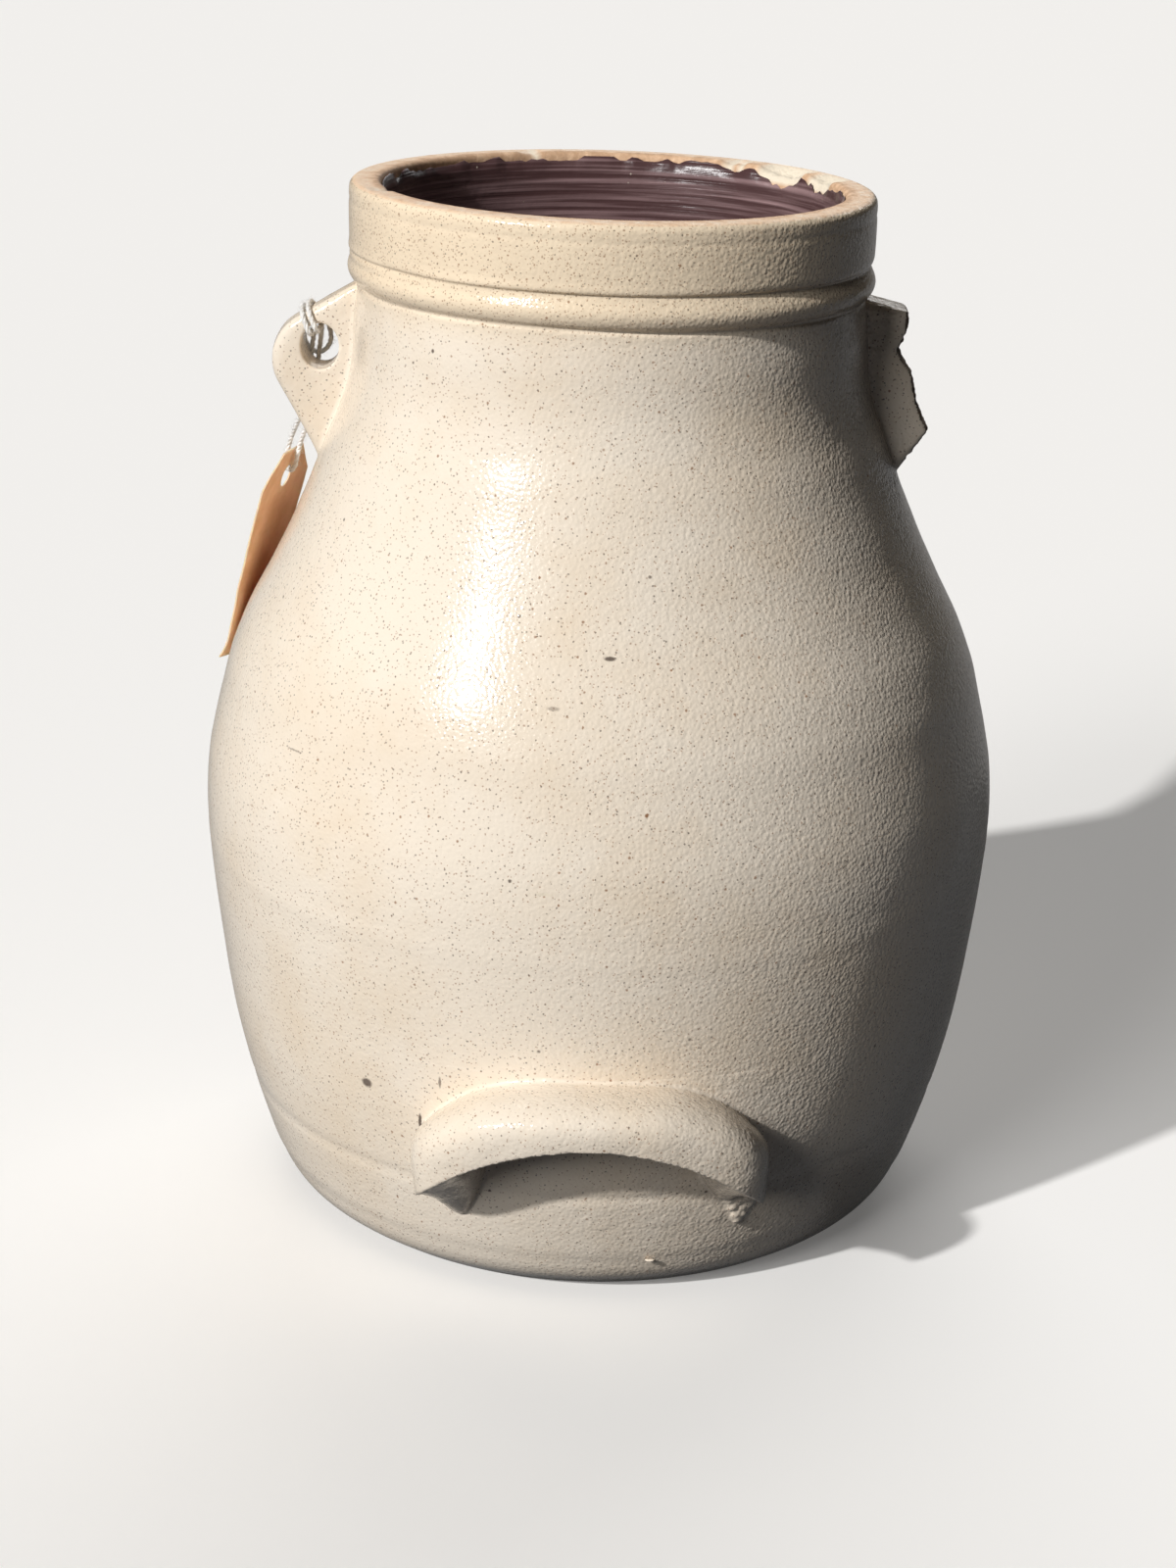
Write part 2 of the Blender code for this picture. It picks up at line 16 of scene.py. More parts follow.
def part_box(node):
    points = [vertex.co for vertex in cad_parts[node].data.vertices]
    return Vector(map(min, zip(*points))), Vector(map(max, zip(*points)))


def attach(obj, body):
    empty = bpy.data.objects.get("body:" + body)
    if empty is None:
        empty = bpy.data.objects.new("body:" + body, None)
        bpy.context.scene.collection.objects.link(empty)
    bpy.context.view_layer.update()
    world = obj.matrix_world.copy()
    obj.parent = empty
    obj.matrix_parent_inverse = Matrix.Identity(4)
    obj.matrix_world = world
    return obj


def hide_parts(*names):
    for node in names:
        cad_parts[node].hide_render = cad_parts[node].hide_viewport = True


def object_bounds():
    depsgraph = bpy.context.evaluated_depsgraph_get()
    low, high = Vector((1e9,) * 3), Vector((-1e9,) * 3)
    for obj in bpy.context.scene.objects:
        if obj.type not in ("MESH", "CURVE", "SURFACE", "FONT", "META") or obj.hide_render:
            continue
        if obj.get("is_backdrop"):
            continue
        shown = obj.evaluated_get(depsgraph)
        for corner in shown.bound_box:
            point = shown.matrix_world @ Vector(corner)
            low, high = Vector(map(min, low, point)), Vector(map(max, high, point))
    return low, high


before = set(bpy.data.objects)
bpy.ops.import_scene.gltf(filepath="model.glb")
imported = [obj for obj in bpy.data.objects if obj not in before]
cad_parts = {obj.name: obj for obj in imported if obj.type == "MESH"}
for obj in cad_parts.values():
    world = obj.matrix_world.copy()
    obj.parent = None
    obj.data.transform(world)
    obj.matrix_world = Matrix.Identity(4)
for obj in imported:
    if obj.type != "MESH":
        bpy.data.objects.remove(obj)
CAD_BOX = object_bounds()

bl_info = {
    "name": "Stoneware Batter Pail",
    "version": (1, 0, 0),
    "blender": (4, 5, 0),
    "location": "3D View > Sidebar > Pail",
    "description": "Dresses the frame of a salt-glazed batter pail in clay, slip, string and card",
    "category": "Object",
}

# Where the photograph was taken from, and its frame in pixels
CAMERA_PLACE = (-0.00103, -0.71804, 0.36520)
CAMERA_PITCH = -19.776
CAMERA_YAW = -0.147
CAMERA_ROLL = 1.35
FOCAL_PIXELS = 2927.04
PICTURE_HEIGHT = 1600

# Towards the key light, front left and above, the broad soft one nearer the middle, and the one
# that shows the back
KEY_DIRECTION = (-0.607, -0.586, 0.537)
FILL_DIRECTION = (-0.511, -0.730, 0.454)
BACK_DIRECTION = (0.120, 0.800, 0.585)
LAMP_DISTANCE = 2.0
FLOOR_RADIUS = 9.0

# Fineness of the turned pot: round it, up the wall, on the collar and in the hollow
TURN_STEPS = 224
WALL_STEP = 0.0016
COLLAR_STEP = 0.0005
COLLAR_START = 0.235
HOLLOW_STEP = 0.0026

# How the thrower's hand strayed: scale of the lumps round the pot and up it, rings to the metre,
# how much truer the collar is from its foot up, and how deep the skin is that strays
LUMPS_ROUND = 1.6
LUMPS_UP = 14.0
RINGS = 260.0
COLLAR_CARE = 0.7
COLLAR_FOOT = 0.236
OUTER_SKIN = 0.004

# Marks that tooling left round the wall, as (height, depth, width)
CREASE = 0.2483
TOOL_LINES = (
    (0.0120, -0.00025, 0.0012),
    (0.0325, -0.00045, 0.0013),
    (0.0990, 0.00022, 0.0026),
    (0.1215, 0.00012, 0.0030),
    (0.1452, 0.00012, 0.0030),
    # Broad swells of the shoulder
    (0.1770, 0.00060, 0.0130),
    (0.2000, -0.00040, 0.0100),
    (0.2200, 0.00050, 0.0090),
    # Narrow grooves by the collar
    (0.2401, -0.00080, 0.0007),
    (0.2606, -0.00022, 0.0007),
    # Clay that fills the crease under the collar, less so on the right
    (CREASE, 0.00165, 0.0015),
)

# The rim's slope to the right, and the heights between which it comes in
RIM_LEAN = -0.0097
LEAN_START = 0.170
LEAN_END = 0.250

# The bare clay of the rim: how far out from the mouth's edge and how far down inside it
BARE_OUT = 0.0072
BARE_DOWN = 0.012

# Chips out of the mouth's edge as (angle from +x in degrees, half width in degrees, depth), and how
# far they reach from it
CHIPS = (
    (41.0, 9.0, 0.0030),
    (24.0, 7.0, 0.0024),
    (57.0, 4.0, 0.0014),
    (112.0, 3.0, 0.0010),
    (201.0, 3.5, 0.0012),
)
CHIP_REACH = 0.0045

# The slip's upper edge: the height over which it thins, how much it thins, and how far down the
# edge sways
SLIP_EDGE = 0.005
SLIP_THINNED = 0.0006
SLIP_SWAY = 0.012

# Route of the string over and round the whole ear, tail to tail
HITCH_ROUTE = (
    (-0.07665, 0.00695, 0.21430), (-0.07600, 0.00695, 0.21950), (-0.07535, 0.00695, 0.22470),
    (-0.07489, 0.00470, 0.22667), (-0.07489, -0.00470, 0.22667), (-0.07521, -0.00695, 0.22749),
    (-0.07575, -0.00695, 0.22881), (-0.07679, -0.00579, 0.23140), (-0.07723, -0.00300, 0.23247),
    (-0.07723, 0.00300, 0.23247), (-0.07679, 0.00579, 0.23140), (-0.07688, 0.00695, 0.22835),
    (-0.07780, 0.00760, 0.22340), (-0.07610, 0.00885, 0.22015), (-0.07440, 0.00915, 0.21950),
    (-0.07270, 0.00885, 0.22015), (-0.07100, 0.00760, 0.22340), (-0.07299, 0.00695, 0.23033),
    (-0.07518, 0.00579, 0.23246), (-0.07561, 0.00300, 0.23353), (-0.07561, -0.00300, 0.23353),
    (-0.07518, -0.00579, 0.23246), (-0.07413, -0.00695, 0.22987), (-0.07345, -0.00695, 0.22820),
    (-0.07312, -0.00470, 0.22738), (-0.07312, 0.00470, 0.22738), (-0.07345, 0.00695, 0.22470),
    (-0.07410, 0.00695, 0.21950), (-0.07475, 0.00695, 0.21430),
)

# Route of the string from the hitch to the tag, through its hole and back
FALL_ROUTE = (
    (-0.07665, 0.00695, 0.21400), (-0.07665, 0.00825, 0.21010), (-0.08348, 0.02175, 0.19287),
    (-0.08435, 0.02200, 0.18936), (-0.08491, 0.02216, 0.18711), (-0.08455, 0.02205, 0.18567),
    (-0.08387, 0.02186, 0.18549), (-0.08320, 0.02166, 0.18530), (-0.08221, 0.02138, 0.18638),
    (-0.08165, 0.02122, 0.18863), (-0.08078, 0.02097, 0.19214), (-0.07475, 0.00825, 0.21010),
    (-0.07475, 0.00695, 0.21400),
)
ROUTE_STEP = 0.0004

# Radius of a ply and of its winding, as shares of the string's diameter
PLY_SHARE = 0.29
WIND_SHARE = 0.21

# The card tag in its own plane, and the relief of its worn surface
TAG_HOLE = 0.006
TAG_HOLE_DROP = 0.008
TAG_CLIP = 0.009
TAG_THICKNESS = 0.0004
TAG_CELLS = (60, 34)
TAG_WEAR = 0.00025
TAG_FRET = 0.00025
TAG_CORNER = 0.86

# The tilt handle: half width and the share of it that is built, top, thickness, reach, falls
# towards its ends, feet and fullness
HANDLE_HALF = 0.04375
HANDLE_ENDS = 0.984
HANDLE_TOP = 0.0673
HANDLE_THICKNESS = 0.0102
HANDLE_REACH = 0.0185
HANDLE_TOP_FALL = 0.018
HANDLE_LIP_FALL = 0.0253
HANDLE_ARCH = 0.0015
HANDLE_LEFT_DROP = 0.0185
HANDLE_RIGHT_DROP = 0.0110
HANDLE_FOOT_WIDTH = 0.020
HANDLE_PLAN_POWER = 9.0
HANDLE_SECTION_POWER = 0.5
HANDLE_STATIONS = 90

# Spare clay below the handle: a crumb under its middle as (centre, reach), and a smear under its
# right foot as (distance round the front, height) of dabs that are half sunk in the wall
CRUMB = ((0.0155, -0.0857, 0.0122), (0.0017, 0.0006, 0.0004))
SMEAR = (
    (0.0430, 0.0325), (0.0410, 0.0318), (0.0390, 0.0322), (0.0368, 0.0316), (0.0346, 0.0322),
    (0.0418, 0.0298), (0.0398, 0.0296), (0.0376, 0.0292), (0.0354, 0.0299), (0.0404, 0.0275),
    (0.0384, 0.0268), (0.0362, 0.0276), (0.0390, 0.0250), (0.0370, 0.0248), (0.0378, 0.0230),
)
SMEAR_DAB = (0.0021, 0.0021, 0.0019)
SMEAR_SINK = 0.0012

# Clay luted to the wall: the patch of wall round the joint, how near the wall a root lies and how
# far it is sunk, the waves left by the fingers as (waves to the metre, depth), and how much coarser
# than the ears the large pieces are, and how many fewer rounds of smoothing the handle gets
PATCH_CELLS = 60
PATCH_LOWEST = 0.004
PATCH_HIGHEST = 0.2395
PATCH_DEPTH = 0.0026
PATCH_SINK = 0.0009
ROOT_NEAR = 0.0009
ROOT_SINK = 0.0012
FINGER_WAVES = ((95.0, 0.00020), (330.0, 0.00006))
LARGE_VOXEL = 1.1
HANDLE_CRISPER = 5

# Joints on the wall: half width in radians, the margin that is blended, how far inside the piece's
# box they start and end, and for the spout how far inside it starts and the height where it ends
EAR_JOINT = 0.085
HANDLE_JOINT = 0.43
SPOUT_JOINT = 0.26
JOINT_MARGIN = 0.012
HANDLE_MARGIN = 0.006
JOINT_FOOT = 0.004
JOINT_HEAD = 0.003
SPOUT_JOINT_FOOT = 0.003
SPOUT_JOINT_TOP = 0.222

# The broken ear: rounds of smoothing, and how far out from the wall and how squarely to the right
# the fracture faces
BROKEN_BLEND = 2
FRACTURE_OUT = 0.0028
FRACTURE_FACING = 0.62

# The spout's bore: where its axis meets the wall, its direction, width and length, how much wider
# the slip's hole is, and how deep the slip coats the bore
SPOUT_ROOT = (0.0, 0.0718, 0.2000)
SPOUT_AXIS = (0.0, 0.7071, 0.7071)
SPOUT_BORE = 0.026
BORE_LENGTH = 0.056
BORE_SLACK = 0.0003
BORE_COAT = 0.0006

# Edges that turn by more than this stay sharp
SHARP_EDGE = math.radians(50.0)


def linear(text):
    """A colour written as sRGB hex, in the linear values that a shader takes."""
    channels = [int(text[k:k + 2], 16) / 255.0 for k in (1, 3, 5)]
    values = [c / 12.92 if c <= 0.04045 else ((c + 0.055) / 1.055) ** 2.4 for c in channels]
    return values + [1.0]


def colour(name, text, note):
    """A colour that a user may change."""
    return FloatVectorProperty(
        name=name, description=note, subtype="COLOR", size=4, min=0.0, max=1.0, default=linear(text)
    )


def length(name, millimetres, note):
    """A length that a user may change, written in millimetres."""
    return FloatProperty(
        name=name, description=note, default=millimetres / 1000.0, unit="LENGTH", precision=5
    )


def number(name, value, note):
    """A plain number that a user may change."""
    return FloatProperty(name=name, description=note, default=value)


def angular(name, degrees, note):
    """An angle that a user may change, written in degrees."""
    return FloatProperty(
        name=name, description=note, default=math.radians(degrees), subtype="ANGLE"
    )


class PailGlaze(bpy.types.PropertyGroup):
    """Salt glaze and the clay under it."""

    cream: colour("Cream", "#EEE1CF", "Glaze where the salt lay thin and even")
    tan: colour("Tan", "#E2CDB1", "Glaze where the iron in the clay shows through")
    collar: colour("Collar", "#F3DFC2", "Warmer glaze on the collar and bead")
    iron: colour("Iron", "#4A3A30", "Fine specks of burnt iron")
    rust: colour("Rust", "#8A5A34", "Larger brown specks")
    toast: colour("Toast", "#E6C09C", "Bare clay on the rim, toasted by the fire")
    chip: colour("Chip", "#E6D9C3", "Fresh broken clay in the chips")
    raw: colour("Raw clay", "#8B7562", "Old fracture of the broken ear")
    soot: colour("Soot", "#5C4E45", "Dark marks and scuffs")
    peel: length("Peel", 0.95, "Width of one cell of the orange-peel skin")
    peel_depth: length("Peel depth", 0.15, "How deep the orange-peel skin is at most")
    roughness: FloatProperty(
        name="Roughness", description="Roughness of the glaze", default=0.13, min=0.0, max=1.0,
        subtype="FACTOR",
    )


class PailSlip(bpy.types.PropertyGroup):
    """Brown slip inside the pot."""

    brown: colour("Brown", "#4F3838", "Slip where it lies thick")
    # Thin slip over the throwing rings, lightened to a pale violet-grey that is partly a painted
    # sheen
    russet_and_painted_sheen: colour("Russet", "#9C8080", "Slip where it ran thin over the throwing rings")
    pit: colour("Pit", "#CFC4B4", "Pale pits that go through the slip")
    rise: length("Rise", 1.4, "How far the slip climbs past its even edge")
    ragged: length("Ragged edge", 1.2, "How far the slip's upper edge rises and falls")


class PailShape(bpy.types.PropertyGroup):
    """How far the hand-made clay strays from the true shapes."""

    lump: length("Lumps", 0.22, "How far the wall wanders from a true circle")
    ring: length("Throwing rings", 0.03, "Depth of the rings that the fingers left")
    lute: length("Luting", 0.25, "How far the smoothed joint stands proud of the wall")
    voxel: length("Clay fineness", 0.45, "Cell size at which luted clay is blended")
    blend: IntProperty(name="Blending", description="Rounds of smoothing at the joints", default=7)


class PailString(bpy.types.PropertyGroup):
    """Cotton string."""

    diameter: length("Diameter", 1.3, "Thickness of the whole string")
    lay: length("Lay", 4.6, "Length of one turn of its three plies")
    hair: length("Fuzz", 1.5, "Length of the loose hairs")
    hairs: number("Hairs", 1.6e6, "Loose hairs on each square metre of string")
    white: colour("White", "#F2F0EC", "Bleached cotton")
    grey: colour("Grey", "#D2CFC9", "Handled cotton")


class PailTag(bpy.types.PropertyGroup):
    """Card tag."""

    face: colour("Card", "#EBC299", "Face of the manila card")
    stain: colour("Stain", "#D09E70", "Foxed and handled parts of the card")
    edge: colour("Edge", "#E9D2B2", "Pale fibres at the cut edges and round the hole")
    curl: length("Curl", 1.2, "How far the middle of the card bows")
    dog_ear: length("Dog-ear", 2.4, "How far the lower corner is bent")


class PailStage(bpy.types.PropertyGroup):
    """Floor and light."""

    floor: colour("Floor", "#EFEDEA", "Floor as the camera sees it")
    bounce: colour("Bounce", "#303238", "Floor as it lights the pail")
    sky: colour("Sky", "#EEEDEB", "Light from all round, and the wall behind the floor")
    glow: number("Floor glow", 0.14, "How far the floor is lifted towards white for the camera")
    mirror: number("Floor mirrored", 0.30, "How much of the pale floor shows in the glaze")
    sky_strength: number("Sky strength", 0.022, "Level of the light all round")
    key_strength: number("Key strength", 3.0, "Level of the key light")
    key_angle: angular("Key size", 2.0, "Angle across the key light")
    fill_strength: number("Fill strength", 1.0, "Level of the soft light")
    fill_angle: angular("Fill size", 20.0, "Angle across the soft light")
    back_strength: number("Back strength", 1.1, "Level of the light behind the pail")
    back_angle: angular("Back size", 50.0, "Angle across the light behind the pail")


def feed(tree, node, feeds):
    """Set a node's inputs, each to a value or to the socket that drives it."""
    for key, value in feeds.items():
        if isinstance(value, bpy.types.NodeSocket):
            tree.links.new(value, node.inputs[key])
        else:
            node.inputs[key].default_value = value


def add(tree, kind, feeds=None, **settings):
    """A new node with its settings and what feeds its inputs."""
    node = tree.nodes.new(kind)
    for name, value in settings.items():
        setattr(node, name, value)
    feed(tree, node, feeds or {})
    return node


def mix(tree, share, first, second):
    """A share of the second colour over the first."""
    feeds = {0: share, 6: first, 7: second}
    return add(tree, "ShaderNodeMix", feeds, data_type="RGBA").outputs[2]


def ramp(tree, value, low, high, bottom=0.0, top=1.0, **settings):
    """A value taken from the range low to high to the range bottom to top, and held at its ends."""
    feeds = {"Value": value, "From Min": low, "From Max": high, "To Min": bottom, "To Max": top}
    return add(tree, "ShaderNodeMapRange", feeds, **settings).outputs[0]


def clouds(tree, spot, scale, detail, roughness=0.5):
    """Noise with so many clouds to the metre."""
    feeds = {"Vector": spot, "Scale": scale, "Detail": detail, "Roughness": roughness}
    return add(tree, "ShaderNodeTexNoise", feeds).outputs["Fac"]


def maths(tree, operation, *values):
    """What an operation makes of numbers."""
    return add(tree, "ShaderNodeMath", dict(enumerate(values)), operation=operation).outputs[0]


def vector_maths(tree, operation, *values):
    """What an operation makes of vectors."""
    feeds = dict(enumerate(values))
    return add(tree, "ShaderNodeVectorMath", feeds, operation=operation).outputs[0]


def bumped(tree, height, depth, **more):
    """A normal that is tipped by a height field of some depth."""
    feeds = {"Strength": 1.0, "Distance": depth, "Height": height, **more}
    return add(tree, "ShaderNodeBump", feeds).outputs[0]


def place(name, data):
    """Put new object data into the scene under a name."""
    obj = bpy.data.objects.new(name, data)
    bpy.context.scene.collection.objects.link(obj)
    return obj


def place_mesh(name, bm):
    """Put a finished bmesh into the scene under a name."""
    mesh = bpy.data.meshes.new(name)
    bm.to_mesh(mesh)
    bm.free()
    return place(name, mesh)


def plain(obj):
    """Turn an object with modifiers into one with a plain mesh."""
    graph = bpy.context.evaluated_depsgraph_get()
    graph.update()
    mesh = bpy.data.meshes.new_from_object(obj.evaluated_get(graph))
    obj.modifiers.clear()
    obj.data = mesh
    mesh.name = obj.name
    return mesh


def drill(obj, radius, depth, segments, spot):
    """Cut a round hole through an object, which is left with a plain mesh."""
    bm = bmesh.new()
    bmesh.ops.create_cone(
        bm, cap_ends=True, segments=segments, radius1=radius, radius2=radius, depth=depth,
        matrix=spot,
    )
    rod = place_mesh("drill", bm)
    boolean = obj.modifiers.new("hole", "BOOLEAN")
    boolean.operation = "DIFFERENCE"
    boolean.solver = "EXACT"
    boolean.object = rod
    mesh = plain(obj)
    bpy.data.objects.remove(rod, do_unlink=True)
    return mesh


def ease(value):
    """A smooth step from 0 to 1."""
    t = min(max(value, 0.0), 1.0)
    return t * t * (3.0 - 2.0 * t)


def spread(start, end, count):
    """Evenly spaced values from start to end, both included."""
    return [start + (end - start) * k / (count - 1) for k in range(count)]


def polar(radius, angle, height):
    """The point at a radius, an angle from +x and a height."""
    return Vector((radius * math.cos(angle), radius * math.sin(angle), height))


def flowing(points, step):
    """Points about a step apart on a smooth curve through the points of a chain."""
    ends = [2.0 * points[0] - points[1]] + points + [2.0 * points[-1] - points[-2]]
    knots = [0.0]
    for a, b in zip(ends, ends[1:]):
        knots.append(knots[-1] + math.sqrt((b - a).length))
    chain = [points[0]]
    for k in range(len(points) - 1):
        a, b, c, d = ends[k:k + 4]
        ta, tb, tc, td = knots[k:k + 4]
        count = max(1, round((c - b).length / step))
        for t in spread(tb, tc, count + 1)[1:]:
            ab = a.lerp(b, (t - ta) / (tb - ta))
            bc = b.lerp(c, (t - tb) / (tc - tb))
            cd = c.lerp(d, (t - tc) / (td - tc))
            low = ab.lerp(bc, (t - ta) / (tc - ta))
            high = bc.lerp(cd, (t - tb) / (td - tb))
            chain.append(low.lerp(high, (t - tb) / (tc - tb)))
    return chain


def section(node):
    """Outer and inner points of a turned node's +x half, as (radius, height) from the foot up."""
    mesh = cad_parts[node].data
    sides = ({}, {})
    for face in mesh.polygons:
        if abs(face.normal.x) < 0.05:
            continue
        for index in face.vertices:
            point = mesh.vertices[index].co
            if abs(point.y) < 1e-6 and point.x > 1e-3:
                key = (round(point.z, 6), round(point.x, 6))
                sides[face.normal.x < 0.0][key] = Vector((point.x, point.z))
    return [[side[key] for key in sorted(side)] for side in sides]


WALL_CHAIN, HOLLOW_CHAIN = section("pail_body")
OUTER = [point for point in flowing(WALL_CHAIN, WALL_STEP) if point.y < COLLAR_START]
OUTER += [point for point in flowing(WALL_CHAIN, COLLAR_STEP) if point.y >= COLLAR_START]
LEVELS = [point.y for point in OUTER]
HEIGHT = LEVELS[-1]
MOUTH = HOLLOW_CHAIN[-1]


def wall_radius(height):
    """Outer radius of the pot at a height."""
    index = min(max(bisect_left(LEVELS, height), 1), len(OUTER) - 1)
    low, high = OUTER[index - 1], OUTER[index]
    return low.x + (high.x - low.x) * (height - low.y) / max(high.y - low.y, 1e-9)


def wander(angle, height):
    """How far the hand-thrown wall stands off its true circle."""
    shape = bpy.context.scene.pail_shape
    out = Vector((math.cos(angle), math.sin(angle), height * LUMPS_UP))
    ring = Vector((7.0, 0.4 * out.x, height * RINGS + 0.3 * out.y))
    steady = 1.0 - COLLAR_CARE * ease((height - COLLAR_FOOT) / 0.01)
    total = steady * shape.lump * noise.noise(out * LUMPS_ROUND)
    total += steady * shape.ring * noise.noise(ring)
    for level, depth, width in TOOL_LINES:
        # Each mark comes and goes round the pot, and its height wavers
        fade = 0.65 + 0.5 * noise.noise(Vector((2.2 * out.x, 2.2 * out.y, level * 90.0)))
        wave = level + 0.0006 * noise.noise(Vector((1.5 * out.x, 1.5 * out.y, level * 40.0)))
        if level == CREASE:
            fade *= 1.0 - 0.6 * ease((out.x + 0.1) / 0.5)
        total += fade * depth * math.exp(-((height - wave) / width) ** 2)
    return total


def lean(point):
    """Tip a point with the rim, which sits lower on the right."""
    point.z += RIM_LEAN * point.x * ease((point.z - LEAN_START) / (LEAN_END - LEAN_START))
    return point


def chipped(angle):
    """Depth of the chip in the mouth's edge at an angle."""
    deep = 0.0
    for centre, half, depth in CHIPS:
        away = (math.degrees(angle) - centre + 180.0) % 360.0 - 180.0
        share = max(0.0, 1.0 - abs(away) / half)
        rough = 0.75 + 0.6 * noise.noise(Vector((angle * 26.0, centre, 0.0)))
        deep = max(deep, depth * min(1.0, 2.2 * share) * rough)
    return deep


def turned(name, chain, steps, shift):
    """Turn a chain of (radius, height) points from axis to axis; shift places each point."""
    verts = [(0.0, 0.0, chain[0].y)]
    for point in chain[1:-1]:
        for k in range(steps):
            verts.append(shift(2.0 * math.pi * k / steps, point))
    verts.append((0.0, 0.0, chain[-1].y))
    last = len(verts) - 1
    rings = [range(1 + k * steps, 1 + (k + 1) * steps) for k in range(len(chain) - 2)]
    faces = []
    for k in range(steps):
        faces.append((0, rings[0][k], rings[0][k - 1]))
        faces.append((last, rings[-1][k - 1], rings[-1][k]))
    for low, high in zip(rings, rings[1:]):
        for k in range(steps):
            faces.append((low[k - 1], low[k], high[k], high[k - 1]))
    mesh = bpy.data.meshes.new(name)
    mesh.from_pydata(verts, [], faces)
    mesh.shade_smooth()
    return place(name, mesh)


def open_spout(obj, radius):
    """Cut the spout's bore through a wall."""
    turn = Vector(SPOUT_AXIS).to_track_quat("Z", "X").to_matrix().to_4x4()
    drill(obj, radius, BORE_LENGTH, 64, Matrix.Translation(Vector(SPOUT_ROOT)) @ turn)


def dress(obj, node, slot, body, *materials):
    """Give a finished piece its materials, and put it in the place of a node."""
    obj.data.materials.clear()
    for material in materials:
        obj.data.materials.append(material)
    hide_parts(node)
    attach(obj, body)


def new_material(name):
    """A new material, its tree and its shader."""
    material = bpy.data.materials.new(name)
    material.use_nodes = True
    tree = material.node_tree
    return material, tree, tree.nodes["Principled BSDF"]


def salt_glaze():
    """Salt-glazed stoneware: pale, faintly mottled, pebbled like orange peel, peppered with iron.

    The bare rim is toasted and dull, the chips are pale and dry. Specks are densest on the collar.
    """
    found = bpy.data.materials.get("salt_glazed_stoneware")
    if found:
        return found
    look = bpy.context.scene.pail_glaze
    material, tree, shader = new_material("salt_glazed_stoneware")
    spot = add(tree, "ShaderNodeTexCoord").outputs["Object"]
    axes = add(tree, "ShaderNodeSeparateXYZ", {0: spot}).outputs
    upper = ramp(tree, axes["Z"], 0.233, 0.246, interpolation_type="SMOOTHSTEP")
    base = mix(tree, upper, look.cream, look.collar)

    # Clouds of tan about 40 mm across, with finer breaks of about 6 mm
    cloud = clouds(tree, spot, 1.0 / 0.040, 5.0, 0.62)
    mottle = ramp(tree, cloud, 0.44, 0.76, top=0.62)
    body = mix(tree, mottle, base, look.tan)

    # Specks are points in the clay that the surface cuts: spacing, radius, colour, strength
    jitter = add(
        tree, "ShaderNodeTexNoise", {"Vector": spot, "Scale": 1.0 / 0.0007, "Detail": 1.0}
    ).outputs["Color"]
    ragged = vector_maths(tree, "MULTIPLY_ADD", jitter, (0.00035, 0.00035, 0.00035), spot)
    crowd = maths(tree, "MULTIPLY", upper, 0.55)
    for spacing, radius, tint, strength in (
        (0.0009, 0.00024, look.rust, crowd),
        (0.0011, 0.00026, look.rust, 0.60),
        (0.0016, 0.00029, look.iron, 0.70),
        (0.0046, 0.00042, look.rust, 0.75),
        (0.0140, 0.00060, look.iron, 0.85),
    ):
        points = add(tree, "ShaderNodeTexVoronoi", {"Vector": ragged, "Scale": 1.0 / spacing})
        near = points.outputs["Distance"]
        dot = ramp(tree, near, radius / spacing, 0.5 * radius / spacing, top=strength)
        body = mix(tree, dot, body, tint)

    # Scuffs and nicks, each an ellipsoid round a point on the wall: centre, reach, colour, strength
    for centre, reach, tint, strength in (
        ((0.0019, -0.0858, 0.1687), (0.0017, 0.004, 0.0006), look.soot, 0.9),
        ((-0.0109, -0.0906, 0.1579), (0.0018, 0.004, 0.0006), look.soot, 0.45),
        ((-0.0550, -0.0812, 0.0572), (0.0016, 0.003, 0.0015), look.soot, 0.9),
        ((-0.0120, -0.1019, 0.1164), (0.0024, 0.004, 0.0005), look.chip, 0.8),
        ((0.0113, -0.0986, 0.1352), (0.0006, 0.003, 0.0006), look.rust, 0.9),
        ((-0.0415, -0.0876, 0.0503), (0.0005, 0.004, 0.0027), look.iron, 0.9),
        ((-0.0365, -0.0920, 0.0629), (0.0004, 0.004, 0.0019), look.soot, 0.7),
        ((-0.0738, -0.0655, 0.1375), (0.0030, 0.004, 0.0003), look.soot, 0.5),
    ):
        away = vector_maths(tree, "SUBTRACT", ragged, centre)
        scaled = vector_maths(tree, "DIVIDE", away, reach)
        span = add(tree, "ShaderNodeVectorMath", {0: scaled}, operation="LENGTH").outputs["Value"]
        body = mix(tree, ramp(tree, span, 1.0, 0.6, top=strength), body, tint)

    # The toasted clay ends in a ragged line with breaks about 3 mm across
    bare = add(tree, "ShaderNodeAttribute", attribute_name="bare").outputs["Fac"]
    breaks = clouds(tree, spot, 1.0 / 0.003, 4.0, 0.6)
    worn = maths(tree, "MULTIPLY_ADD", breaks, 0.9, bare)
    toasted = ramp(tree, worn, 0.80, 1.35, top=0.95)
    body = mix(tree, toasted, body, look.toast)
    body = mix(tree, ramp(tree, worn, 1.30, 1.50, top=0.40), body, look.rust)
    fresh = add(tree, "ShaderNodeAttribute", attribute_name="chip").outputs["Fac"]
    body = mix(tree, fresh, body, look.chip)

    dull = ramp(tree, cloud, 0.3, 0.7, look.roughness - 0.02, look.roughness + 0.05)
    dry = maths(tree, "MAXIMUM", toasted, fresh)
    rough = add(tree, "ShaderNodeMix", {0: dry, 2: dull, 3: 0.75}).outputs[0]

    cells = add(
        tree, "ShaderNodeTexVoronoi", {"Vector": spot, "Scale": 1.0 / look.peel, "Smoothness": 0.6},
        feature="SMOOTH_F1",
    ).outputs["Distance"]
    skin = maths(tree, "SUBTRACT", clouds(tree, spot, 0.7 / look.peel, 2.0), cells)
